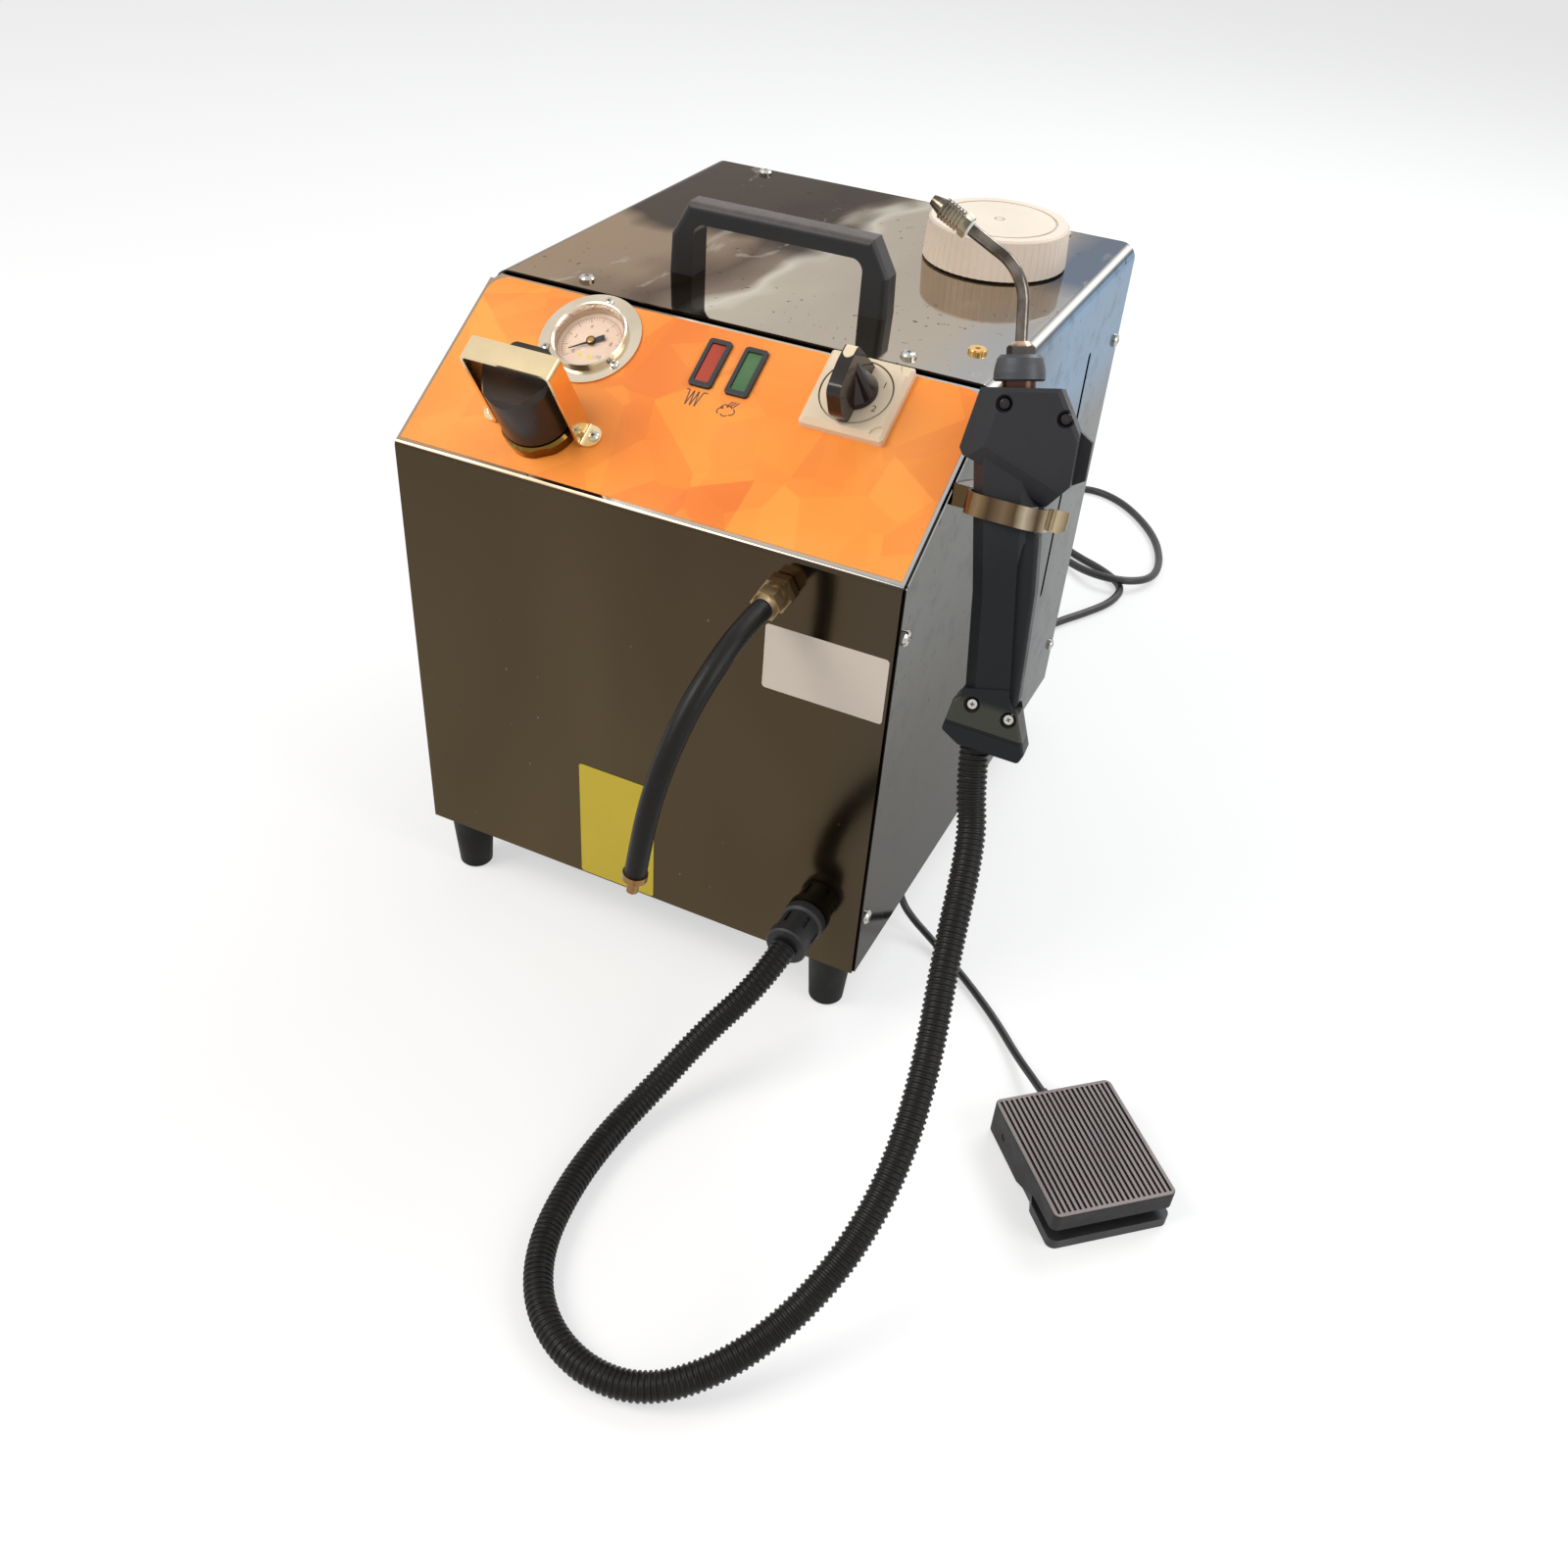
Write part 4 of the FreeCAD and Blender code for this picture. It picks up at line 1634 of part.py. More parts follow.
def strain_relief():
    """Tapered boot where the mains lead leaves the rear panel."""
    x, y, z = mains_lead()[0]
    flange = bar(8.0, (x, REAR_Y, z), 2.5, Y)
    boot = Part.makeCone(6.5, MLEAD_R + 1.0, y - REAR_Y - 2.5, V(x, REAR_Y + 2.5, z), Y)
    back = bar(5.4, (x, REAR_Y - SHEET - 5, z), SHEET + 5, Y)
    return flange.fuse([boot, back]).removeSplitter()


def write(name, shape):
    solids = shape if isinstance(shape, list) else [shape]
    for piece in solids:
        if not piece.isValid() or piece.Volume <= 0 or len(piece.Solids) != 1:
            print("CHECK", name, piece.isValid(), "volume %.1f" % piece.Volume, len(piece.Solids), "solids")
    out = Part.makeCompound([s for piece in solids for s in piece.Solids]) if len(solids) > 1 else solids[0]
    out.exportStep("parts/" + name + ".step")


def main():
    os.makedirs("parts", exist_ok=True)
    nodes = {
        "base_tray": base_tray, "front_panel": front_panel, "top_cover": top_cover, "rear_panel": rear_panel,
        "rubber_feet": rubber_feet,
        "cabinet_screws": lambda: cover_screws() + foot_screws() + handle_screws(),
        "vent_plug": vent_plug, "control_decal": decal, "carry_handle": carry_handle,
        "water_tank": water_tank, "tank_gasket": tank_gasket, "tank_cap": tank_cap,
        "tank_cap_liner": tank_cap_liner, "tank_shelf": tank_shelf, "boiler": boiler,
        "heating_element": heating_element, "boiler_bracket": boiler_bracket, "filler_collar": filler_collar,
        "boiler_fittings": lambda: [steam_valve(), safety_valve(), pressure_switch()],
        "boiler_cap": boiler_cap, "boiler_cap_seal": boiler_cap_seal, "cap_guard": cap_guard,
        "small_screws": lambda: guard_screws() + gauge_screws() + clip_screws(),
        "gauge_case": gauge_case, "gauge_dial": gauge_dial, "gauge_glass": gauge_glass,
        "gauge_needle": gauge_needle, "lamp_bezels": lamp_bezels,
        "red_lens": lambda: lamp_lens(RED_X), "green_lens": lambda: lamp_lens(GREEN_X),
        "switch_plate": switch_plate, "switch_body": switch_body, "switch_knob": switch_knob,
        "relief_fitting": relief_fitting,
        "relief_hose": lambda: tube(relief_route(), RHOSE_R, name="relief hose"),
        "relief_tip": relief_sleeve, "hose_connector": hose_connector,
        "steam_hose": lambda: tube(steam_hose(), HOSE_R, name="steam hose"),
        "copper_pipes": lambda: [steam_pipe(), relief_pipe(), gauge_pipe()],
        "water_hoses": lambda: [suction_pipe(), feed_pipe()], "feed_pump": feed_pump,
        "gun_front": lambda: gun_half(-1), "gun_rear": lambda: gun_half(1), "gun_trigger": gun_trigger,
        "gun_screws": lambda: gun_screws() + [gun_pin()], "neck_fittings": lambda: [gun_bush(), gun_nut()],
        "gun_collar": gun_collar, "gun_lance": gun_lance, "gun_nozzle": gun_nozzle,
        "nozzle_washer": nozzle_washer, "gun_clip": gun_clip,
        "pedal_base": pedal_base, "pedal_cover": pedal_cover, "pedal_switch": pedal_switch,
        "pedal_gland": pedal_gland, "pedal_lead": lambda: tube(pedal_lead(), PLEAD_R, name="pedal lead"),
        "strain_relief": strain_relief, "mains_lead": lambda: tube(mains_lead(), MLEAD_R, name="mains lead"),
        "mains_coil": mains_coil, "mains_plug": mains_plug,
    }
    for name, make in nodes.items():
        write(name, make())


main()
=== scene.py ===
"""Looks of the bench steam cleaner: materials, cords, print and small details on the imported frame."""
import math
import random

import bmesh
import bpy
from mathutils import Matrix, Vector


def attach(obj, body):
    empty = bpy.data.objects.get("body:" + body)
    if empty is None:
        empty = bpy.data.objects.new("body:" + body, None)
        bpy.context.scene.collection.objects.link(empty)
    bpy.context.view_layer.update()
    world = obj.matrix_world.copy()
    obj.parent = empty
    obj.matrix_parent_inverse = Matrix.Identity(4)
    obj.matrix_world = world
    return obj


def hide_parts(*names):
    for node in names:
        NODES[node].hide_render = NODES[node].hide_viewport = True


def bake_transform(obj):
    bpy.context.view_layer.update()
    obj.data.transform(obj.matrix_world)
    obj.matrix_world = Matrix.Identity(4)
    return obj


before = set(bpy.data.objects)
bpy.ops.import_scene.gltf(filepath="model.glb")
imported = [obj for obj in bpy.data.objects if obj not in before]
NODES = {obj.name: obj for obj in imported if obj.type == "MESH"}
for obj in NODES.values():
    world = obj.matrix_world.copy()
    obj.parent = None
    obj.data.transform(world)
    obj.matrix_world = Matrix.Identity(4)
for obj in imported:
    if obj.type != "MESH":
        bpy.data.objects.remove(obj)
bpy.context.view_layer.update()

MM = 0.001


# ---------------------------------------------------------------- frames
def axes(base, x, y, z):
    """Matrix of a local frame: base in millimetres and its three directions."""
    m = Matrix.Identity(4)
    for i, col in enumerate((x, y, z)):
        m.col[i][:3] = col
    m.col[3][:3] = [c * MM for c in base]
    return m


SLOPE = math.radians(31.55)     # control panel from the horizontal
FRONT_Y = -190                  # front face of the cabinet
GRIP_AT = (187, -141, 339.4)    # middle of the gun's grip in its clip
PX, PY, PZ = (1, 0, 0), (0, math.cos(SLOPE), math.sin(SLOPE)), (0, -math.sin(SLOPE), math.cos(SLOPE))
WORLD = Matrix.Identity(4)
PANEL = axes((0, FRONT_Y, 308), PX, PY, PZ)
GAUGE = axes((-74, -109.434, 357.466), PX, PY, PZ)
SWITCH = axes((87.5, -106.021, 359.559), PX, PY, PZ)
NECK = axes((-74, -160.136, 326.335), PX, PY, PZ)
FRONT = axes((0, FRONT_Y, 0), (1, 0, 0), (0, 0, 1), (0, -1, 0))
GUN = axes(GRIP_AT, (0.96679, 0.20409, 0.15381), (-0.13587, 0.92025, -0.367), (-0.21644, 0.33391, 0.91742))
CLIP = axes(GRIP_AT, (1, 0, 0), (0, 0.93969, -0.34202), (0, 0.34202, 0.93969))
PEDAL = axes((318.8, -236.2, 0), (0.74548, 0.66653, 0), (-0.66653, 0.74548, 0), (0, 0, 1))


# ---------------------------------------------------------------- material helpers
class Shader:
    """A node tree with short calls for the patterns used here, in object coordinates."""

    def __init__(self, name):
        self.mat = bpy.data.materials.new(name)
        self.mat.use_nodes = True
        self.tree = self.mat.node_tree
        self.bsdf = self.tree.nodes["Principled BSDF"]
        self.coords = self.node("ShaderNodeTexCoord").outputs["Object"]

    def node(self, kind, **props):
        n = self.tree.nodes.new(kind)
        for k, v in props.items():
            setattr(n, k, v)
        return n

    def link(self, a, b):
        self.tree.links.new(a, b)

    def local(self, matrix, scale=(1, 1, 1)):
        """Coordinates in a local frame of the object, stretched by scale."""
        inverse = matrix.inverted()
        n = self.node("ShaderNodeMapping")
        n.vector_type = "POINT"
        n.inputs["Location"].default_value = inverse.to_translation()
        n.inputs["Rotation"].default_value = inverse.to_euler()
        self.link(self.coords, n.inputs["Vector"])
        s = self.node("ShaderNodeVectorMath", operation="MULTIPLY")
        self.link(n.outputs[0], s.inputs[0])
        s.inputs[1].default_value = scale
        return s.outputs[0]

    def noise(self, scale, detail=2.0, rough=0.5, coords=None, distortion=0.0):
        n = self.node("ShaderNodeTexNoise")
        n.inputs["Scale"].default_value = scale
        n.inputs["Detail"].default_value = detail
        n.inputs["Roughness"].default_value = rough
        n.inputs["Distortion"].default_value = distortion
        self.link(coords or self.coords, n.inputs["Vector"])
        return n.outputs["Fac"]

    def voronoi(self, scale, coords=None, output="Distance"):
        n = self.node("ShaderNodeTexVoronoi", feature="F1")
        n.inputs["Scale"].default_value = scale
        self.link(coords or self.coords, n.inputs["Vector"])
        return n.outputs[output]

    def remap(self, value, a, b, c, d):
        n = self.node("ShaderNodeMapRange")
        for i, v in enumerate((a, b, c, d), 1):
            n.inputs[i].default_value = v
        self.link(value, n.inputs[0])
        return n.outputs[0]

    def ramp(self, value, stops):
        n = self.node("ShaderNodeValToRGB")
        while len(n.color_ramp.elements) < len(stops):
            n.color_ramp.elements.new(0.5)
        for e, (at, colour) in zip(n.color_ramp.elements, stops):
            e.position = at
            e.color = (*colour, 1)
        self.link(value, n.inputs[0])
        return n.outputs[0]

    def mix(self, fac, a, b):
        n = self.node("ShaderNodeMix", data_type="RGBA", blend_type="MIX")
        for socket, value in ((n.inputs[0], fac), (n.inputs[6], a), (n.inputs[7], b)):
            if isinstance(value, bpy.types.NodeSocket):
                self.link(value, socket)
            elif isinstance(value, (int, float)):
                socket.default_value = value
            else:
                socket.default_value = (*value, 1)
        return n.outputs[2]

    def math(self, op, a, b=0.0):
        n = self.node("ShaderNodeMath", operation=op)
        for socket, value in ((n.inputs[0], a), (n.inputs[1], b)):
            if isinstance(value, bpy.types.NodeSocket):
                self.link(value, socket)
            else:
                socket.default_value = value
        return n.outputs[0]

    def plus(self, a, b):
        return self.math("ADD", a, b)

    def less(self, a, b):
        return self.math("SUBTRACT", a, b)

    def times(self, a, b):
        return self.math("MULTIPLY", a, b)

    def part(self, vector, index):
        n = self.node("ShaderNodeSeparateXYZ")
        self.link(vector, n.inputs[0])
        return n.outputs[index]

    def normal(self, index):
        return self.part(self.node("ShaderNodeTexCoord").outputs["Normal"], index)

    def bump(self, height, distance, strength=1.0):
        n = self.node("ShaderNodeBump")
        n.inputs["Strength"].default_value = strength
        n.inputs["Distance"].default_value = distance
        self.link(height, n.inputs["Height"])
        if self.bsdf.inputs["Normal"].links:
            self.link(self.bsdf.inputs["Normal"].links[0].from_socket, n.inputs["Normal"])
        self.link(n.outputs[0], self.bsdf.inputs["Normal"])

    def set(self, **values):
        for k, v in values.items():
            socket = self.bsdf.inputs[k.replace("_", " ")]
            if isinstance(v, bpy.types.NodeSocket):
                self.link(v, socket)
            elif isinstance(v, tuple):
                socket.default_value = (*v, 1)
            else:
                socket.default_value = v


def srgb(*rgb):
    """Linear colour of an 8-bit one."""
    return tuple(c / 12.92 if c <= 0.04045 else ((c + 0.055) / 1.055) ** 2.4 for c in (v / 255 for v in rgb))


def moulded(name, colour, rough=0.5, grain=1500.0, depth=0.00006, mottle=0.12, specular=0.5, dust=0.0):
    """Moulded plastic or rubber: fine grain, slightly uneven gloss and colour."""
    s = Shader(name)
    cloud = s.noise(18.0, 3.0)
    dark = tuple(c * (1 - mottle) for c in colour)
    light = tuple(min(1, c * (1 + mottle) + 0.002) for c in colour)
    base = s.ramp(cloud, [(0.3, dark), (0.7, light)])
    if dust:
        specks = s.ramp(s.noise(240.0, 4.0, 0.7), [(0.62, (0, 0, 0)), (0.74, (1, 1, 1))])
        base = s.mix(s.times(specks, dust), base, srgb(170, 165, 155))
    s.set(Base_Color=base, Roughness=s.remap(s.noise(60.0, 3.0), 0.3, 0.7, rough * 0.85, min(1, rough * 1.15)))
    s.set(Specular_IOR_Level=specular)
    s.bump(s.noise(grain, 2.0), depth)
    return s.mat


def metal(name, colour, rough=0.2, tarnish_and_reflection=None, tarnish_and_reflection_at=(0.55, 0.75), stretch=(1, 1, 1)):
    """Metal with cloudy gloss, faint scratches and, if named, second-tone patches: oxide, painted reflections,
    painted highlights.
    """
    s = Shader(name)
    stretched = s.local(WORLD, stretch)
    cloud = s.noise(25.0, 4.0, coords=stretched)
    dark = tuple(c * 0.88 for c in colour)
    light = tuple(min(1, c * 1.08) for c in colour)
    base = s.ramp(cloud, [(0.3, dark), (0.7, light)])
    if tarnish_and_reflection:
        mask = s.ramp(s.noise(45.0, 5.0, 0.6), [(tarnish_and_reflection_at[0], (0, 0, 0)), (tarnish_and_reflection_at[1], (1, 1, 1))])
        base = s.mix(mask, base, tarnish_and_reflection)
    s.set(Base_Color=base, Metallic=1.0, Roughness=s.remap(cloud, 0.3, 0.7, rough * 0.75, rough * 1.25))
    s.bump(s.noise(900.0, 3.0, coords=stretched), 0.00002)
    return s.mat


def finish(mat, *nodes):
    """Gives each of these CAD nodes a material."""
    for n in nodes:
        slots = NODES[n].material_slots
        if slots:
            slots[0].material = mat
        else:
            NODES[n].data.materials.append(mat)


# ---------------------------------------------------------------- polished sheet steel
# The tones below stand for the room that polished steel reflects. They are painted in place, in metres.
SIDE_TONES = [(0.0, srgb(96, 94, 88)), (0.45, srgb(122, 119, 112)), (0.75, srgb(146, 146, 142)),
              (0.9, srgb(148, 147, 142))]
LID_TONES = [(0.0, srgb(192, 166, 138)), (0.24, srgb(182, 158, 134)), (0.36, srgb(120, 102, 90)),
             (0.46, srgb(160, 142, 126)), (0.5, srgb(240, 232, 216)), (0.53, srgb(216, 204, 186)),
             (0.66, srgb(204, 192, 176)), (0.84, srgb(204, 192, 176)), (1.0, srgb(186, 188, 190))]


def front_wall(s, x, z, cloud):
    """Painted reflection of the room on the front sheet: brown, darker upwards and greyer near its right edge.
    """
    wall = s.mix(s.remap(z, 0.04, 0.30, 0, 1), srgb(96, 83, 62), srgb(78, 66, 51))
    wall = s.mix(s.remap(cloud, 0.35, 0.7, 0, 0.5), wall, srgb(60, 51, 40))
    return s.mix(s.remap(x, 0.118, 0.152, 0, 0.6), wall, srgb(72, 65, 54))


def side_wall(s, y, z, cloud):
    """Painted reflections of the room on the sides of the cover: paler to the rear, blue at the upper rear,
    dark on the lip that faces front.
    """
    wall = s.ramp(s.remap(z, 0.04, 0.36, 0, 1), SIDE_TONES)
    rearward = s.plus(y, s.times(cloud, 0.1))
    wall = s.mix(s.remap(rearward, 0.05, 0.2, 0, 0.6), wall, srgb(190, 194, 196))
    blue = s.times(s.remap(z, 0.27, 0.315, 0, 1), s.remap(rearward, 0.0, 0.09, 0, 1))
    wall = s.mix(blue, wall, srgb(172, 204, 234))
    wall = s.mix(s.remap(s.noise(60.0, 5.0, 0.7), 0.5, 0.64, 0, 0.3), wall, srgb(92, 96, 104))
    return s.mix(s.remap(s.normal(1), -0.5, -0.8, 0, 1), wall, srgb(46, 41, 38))


def lid_tones(s, x, y):
    """Painted reflections of the room on upward faces: a light stripe, a dark patch at the rear left and a
    blue-grey one at the rear right.
    """
    warp = s.times(s.less(s.noise(9.0, 3.0, 0.6, s.local(WORLD, (1.0, 0.5, 1.0))), 0.5), 0.16)
    across = s.plus(s.less(x, s.times(y, 0.1)), warp)
    lid = s.ramp(s.remap(across, -0.16, 0.16, 0, 1), LID_TONES)
    rear = s.remap(s.plus(y, warp), 0.04, 0.062, 0, 0.92)
    left = s.remap(s.plus(x, warp), 0.012, -0.006, 0, 1)
    lid = s.mix(s.times(rear, left), lid, srgb(84, 75, 68))
    right = s.remap(s.plus(x, s.times(warp, 0.3)), 0.112, 0.13, 0, 1)
    lid = s.mix(s.times(right, s.remap(y, 0.065, 0.095, 0, 0.9)), lid, srgb(118, 134, 156))
    smears = s.noise(26.0, 4.0, 0.65, s.local(WORLD, (1.6, 0.5, 1.0)), 1.0)
    return s.mix(s.remap(smears, 0.62, 0.68, 0, 0.35), lid, srgb(226, 218, 204))


def sheet_steel(name, kind):
    """Mirror-polished stainless sheet: painted reflections of the room, drying marks and faint scratches."""
    s = Shader(name)
    x, y, z = (s.part(s.coords, i) for i in range(3))
    cloud = s.noise(5.0, 2.0, 0.5, s.local(WORLD, (1.0, 1.0, 0.45)), 0.6)
    wall = front_wall(s, x, z, cloud) if kind == "front" else side_wall(s, y, z, cloud)
    # upward faces take the painted reflections of lid_tones, the others those of the walls
    base = s.mix(s.remap(s.normal(2), 0.55, 0.9, 0, 1), wall, lid_tones(s, x, y))
    metallic = 1.0
    if kind == "side":
        # painted highlight along the cover's top bends, inside a painted darker band; metallic is lowered
        # under the highlight
        bend = s.times(s.remap(s.math("ABSOLUTE", x), 0.1475, 0.1485, 0, 1), s.remap(z, 0.368, 0.3695, 0, 1))
        bright = s.times(bend, s.remap(s.math("ABSOLUTE", s.less(s.normal(2), 0.8)), 0.06, 0.16, 1, 0))
        base = s.mix(s.times(bend, 0.7), base, srgb(96, 94, 92))
        base = s.mix(s.times(bright, 0.95), base, srgb(252, 250, 244))
        metallic = s.less(1.0, s.times(bright, 0.6))
    specks = s.ramp(s.voronoi(95.0), [(0.035, (1, 1, 1)), (0.075, (0, 0, 0))])
    sparse = s.ramp(s.noise(30.0, 3.0), [(0.5, (0, 0, 0)), (0.62, (1, 1, 1))])
    marks = s.times(specks, sparse)
    base = s.mix(s.times(marks, 0.35), base, srgb(176, 170, 160))
    if kind == "side":
        drops = s.remap(s.noise(230.0, 2.0, 0.5, s.local(WORLD, (1.0, 1.0, 0.75))), 0.69, 0.73, 0, 1)
        base = s.mix(s.times(drops, s.remap(s.noise(14.0, 2.0), 0.4, 0.55, 0, 0.8)), base, srgb(44, 44, 44))
    s.set(Base_Color=base, Metallic=metallic, Specular_Tint=(0.5, 0.5, 0.5))
    haze = s.remap(s.noise(14.0, 4.0, 0.6), 0.35, 0.7, 0.03, 0.07)
    haze = s.plus(haze, s.remap(s.normal(2), 0.2, 0.5, 0.07, 0.0))
    s.set(Roughness=s.plus(haze, s.times(marks, 0.25)))
    s.bump(s.noise(3.2, 1.0), 0.0008, 0.5)
    s.bump(s.noise(900.0, 2.0, coords=s.local(WORLD, (1.0, 1.0, 0.04))), 0.000004)
    return s.mat


finish(sheet_steel("polished_cover", "side"), "top_cover")
finish(sheet_steel("polished_front", "front"), "front_panel")
finish(metal("rear_sheet", srgb(150, 148, 144), 0.28), "rear_panel")
finish(metal("tray_sheet", srgb(120, 118, 114), 0.35, stretch=(1, 0.1, 1)),
       "base_tray", "tank_shelf", "boiler_bracket")
finish(moulded("foot_rubber", srgb(9, 8, 6), 0.6, 700.0, 0.0001, specular=0.25, dust=0.03), "rubber_feet")


# ---------------------------------------------------------------- printed film on the slope
def decal_film():
    """Orange film with a loose net of flat facets in near tones."""
    s = Shader("facet_film")
    flat = s.local(PANEL, (1.0, 1.0, 0.0))
    tones = [(0.0, srgb(222, 112, 40)), (0.28, srgb(236, 130, 40)), (0.55, srgb(246, 140, 48)),
             (0.8, srgb(250, 152, 58)), (1.0, srgb(230, 120, 40))]
    warp = s.node("ShaderNodeVectorMath", operation="ADD")
    s.link(flat, warp.inputs[0])
    warp.inputs[1].default_value = (3.7, 1.9, 0.0)
    wide = s.part(s.voronoi(19.0, warp.outputs[0], output="Color"), 0)
    small = s.part(s.voronoi(36.0, flat, output="Color"), 1)
    base = s.mix(0.42, s.ramp(wide, tones), s.ramp(small, tones))
    base = s.mix(s.remap(s.noise(9.0, 1.0, coords=flat), 0.35, 0.65, 0.0, 0.4), base, srgb(255, 178, 92))
    s.set(Base_Color=base, Roughness=0.34, Specular_IOR_Level=0.35)
    s.bump(s.noise(260.0, 2.0), 0.00004)
    return s.mat


finish(decal_film(), "control_decal")


# ---------------------------------------------------------------- mesh helpers
def to_object(name, bm, matrix, mat, body, smooth=True, angle=35.0):
    """Object of a mesh in a local frame. It rides on a body where one is named."""
    mesh = bpy.data.meshes.new(name)
    bm.to_mesh(mesh)
    bm.free()
    for p in mesh.polygons:
        p.use_smooth = smooth
    o = bpy.data.objects.new(name, mesh)
    bpy.context.scene.collection.objects.link(o)
    if smooth:
        mesh.set_sharp_from_angle(angle=math.radians(angle))
    o.matrix_world = matrix
    mesh.materials.append(mat)
    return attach(o, body) if body else o


def prism(bm, outline, z0, z1):
    """Closed prism over an outline of (x, y) in millimetres."""
    low = [bm.verts.new((x * MM, y * MM, z0 * MM)) for x, y in outline]
    high = [bm.verts.new((x * MM, y * MM, z1 * MM)) for x, y in outline]
    bm.faces.new(low[::-1])
    bm.faces.new(high)
    n = len(outline)
    for i in range(n):
        bm.faces.new((low[i], low[(i + 1) % n], high[(i + 1) % n], high[i]))


def revolve(bm, profile, segments=48, closed=False):
    """Surface of revolution about z; profile is (radius, z) in millimetres."""
    rings = []
    for r, z in profile:
        if r < 1e-6:
            rings.append([bm.verts.new((0, 0, z * MM))])
        else:
            rings.append([bm.verts.new((r * math.cos(a) * MM, r * math.sin(a) * MM, z * MM))
                          for a in (2 * math.pi * k / segments for k in range(segments))])
    pairs = list(zip(rings, rings[1:]))
    if closed:
        pairs.append((rings[-1], rings[0]))
    for a, b in pairs:
        for k in range(segments):
            j = (k + 1) % segments
            corners = [a[k % len(a)], a[j % len(a)], b[j % len(b)], b[k % len(b)]]
            unique = list(dict.fromkeys(corners))
            if len(unique) > 2:
                bm.faces.new(unique)


def arc(cx, cy, r, a0, a1, n):
    """Points on an arc from angle a0 to a1, in degrees."""
    turns = (math.radians(a0 + (a1 - a0) * i / n) for i in range(n + 1))
    return [(cx + r * math.cos(a), cy + r * math.sin(a)) for a in turns]


def stroke(bm, points, width, z0, z1):
    """Thin printed line of a given width along (x, y) points."""
    left, right = [], []
    for i, p in enumerate(points):
        a = Vector(points[max(0, i - 1)])
        b = Vector(points[min(len(points) - 1, i + 1)])
        d = (b - a).normalized()
        n = Vector((-d.y, d.x)) * width / 2
        left.append((p[0] + n.x, p[1] + n.y))
        right.append((p[0] - n.x, p[1] - n.y))
    prism(bm, left + right[::-1], z0, z1)


PRINT_T = 0.04      # thickness of a printed number


def text(name, body_text, size, matrix, mat, body, x, y, z):
    """A number printed on a face, centred at (x, y) millimetres of its frame."""
    curve = bpy.data.curves.new(name, "FONT")
    curve.body = body_text
    curve.size = size * MM
    curve.align_x = "CENTER"
    curve.align_y = "CENTER"
    curve.extrude = PRINT_T * MM / 2
    curve.resolution_u = 4
    temp = bpy.data.objects.new(name + "_curve", curve)
    bpy.context.scene.collection.objects.link(temp)
    bpy.context.view_layer.update()
    mesh = bpy.data.meshes.new_from_object(temp)
    bpy.data.objects.remove(temp)
    o = bpy.data.objects.new(name, mesh)
    bpy.context.scene.collection.objects.link(o)
    mesh.materials.clear()
    mesh.materials.append(mat)
    o.matrix_world = matrix @ Matrix.Translation((x * MM, y * MM, (z + PRINT_T / 2) * MM))
    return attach(o, body)


# ---------------------------------------------------------------- plain finishes of the CAD nodes
STEEL = metal("bright_screw_steel", srgb(190, 186, 178), 0.16)
SOCKET = moulded("recess_dark", srgb(22, 20, 18), 0.6)
BLACK = moulded("black_moulding", srgb(28, 28, 30), 0.5, 1100.0, 0.00005, dust=0.06)
GLOSS = moulded("gloss_brown_black", srgb(34, 26, 24), 0.12, 300.0, 0.00001, specular=0.35)
CREAM = moulded("cream_plate", srgb(222, 203, 174), 0.42, 900.0, 0.00003, 0.03)
BRASS = metal("worn_brass", srgb(188, 140, 70), 0.24, srgb(104, 66, 32))
INK = moulded("printed_ink", srgb(46, 40, 38), 0.6, mottle=0.04)
DIAL_INK = moulded("dial_ink", srgb(140, 74, 66), 0.6, mottle=0.04)
BROWN_INK = moulded("panel_ink", srgb(96, 64, 50), 0.5, mottle=0.04)
INNER = moulded("inner_rubber", srgb(40, 38, 36), 0.7)
HOSE = moulded("hose_black", srgb(17, 15, 13), 0.4, 900.0, 0.00003, specular=0.2, dust=0.03)
COPPER = metal("copper", srgb(190, 120, 82), 0.25, srgb(110, 66, 44))

finish(STEEL, "cabinet_screws", "small_screws")
# the filler collar's light gold patches are painted highlights
finish(metal("dull_brass", srgb(118, 90, 40), 0.2, srgb(200, 164, 90), (0.6, 0.7)), "filler_collar")
finish(metal("vent_brass", srgb(226, 184, 112), 0.25, srgb(150, 104, 54)), "vent_plug")
finish(metal("fitting_metal", srgb(156, 136, 104), 0.36, srgb(96, 80, 58)), "relief_fitting")
finish(metal("inner_brass", srgb(180, 140, 76), 0.3), "boiler_fittings")
finish(COPPER, "copper_pipes")
finish(metal("tip_brass", srgb(150, 116, 74), 0.3, srgb(90, 66, 44)), "relief_tip")


def handle_moulding():
    """Black satin moulding with a mottled painted sheen that makes it paler where it faces up."""
    s = Shader("handle_moulding")
    top = s.remap(s.normal(2), 0.3, 0.9, 0, 1)
    mottle = s.remap(s.noise(90.0, 4.0, 0.7), 0.35, 0.65, 0.6, 1.0)
    s.set(Base_Color=s.mix(s.times(top, mottle), srgb(28, 29, 31), srgb(88, 80, 77)))
    s.set(Roughness=0.45, Specular_IOR_Level=0.3)
    s.bump(s.noise(900.0, 2.0), 0.00004)
    return s.mat


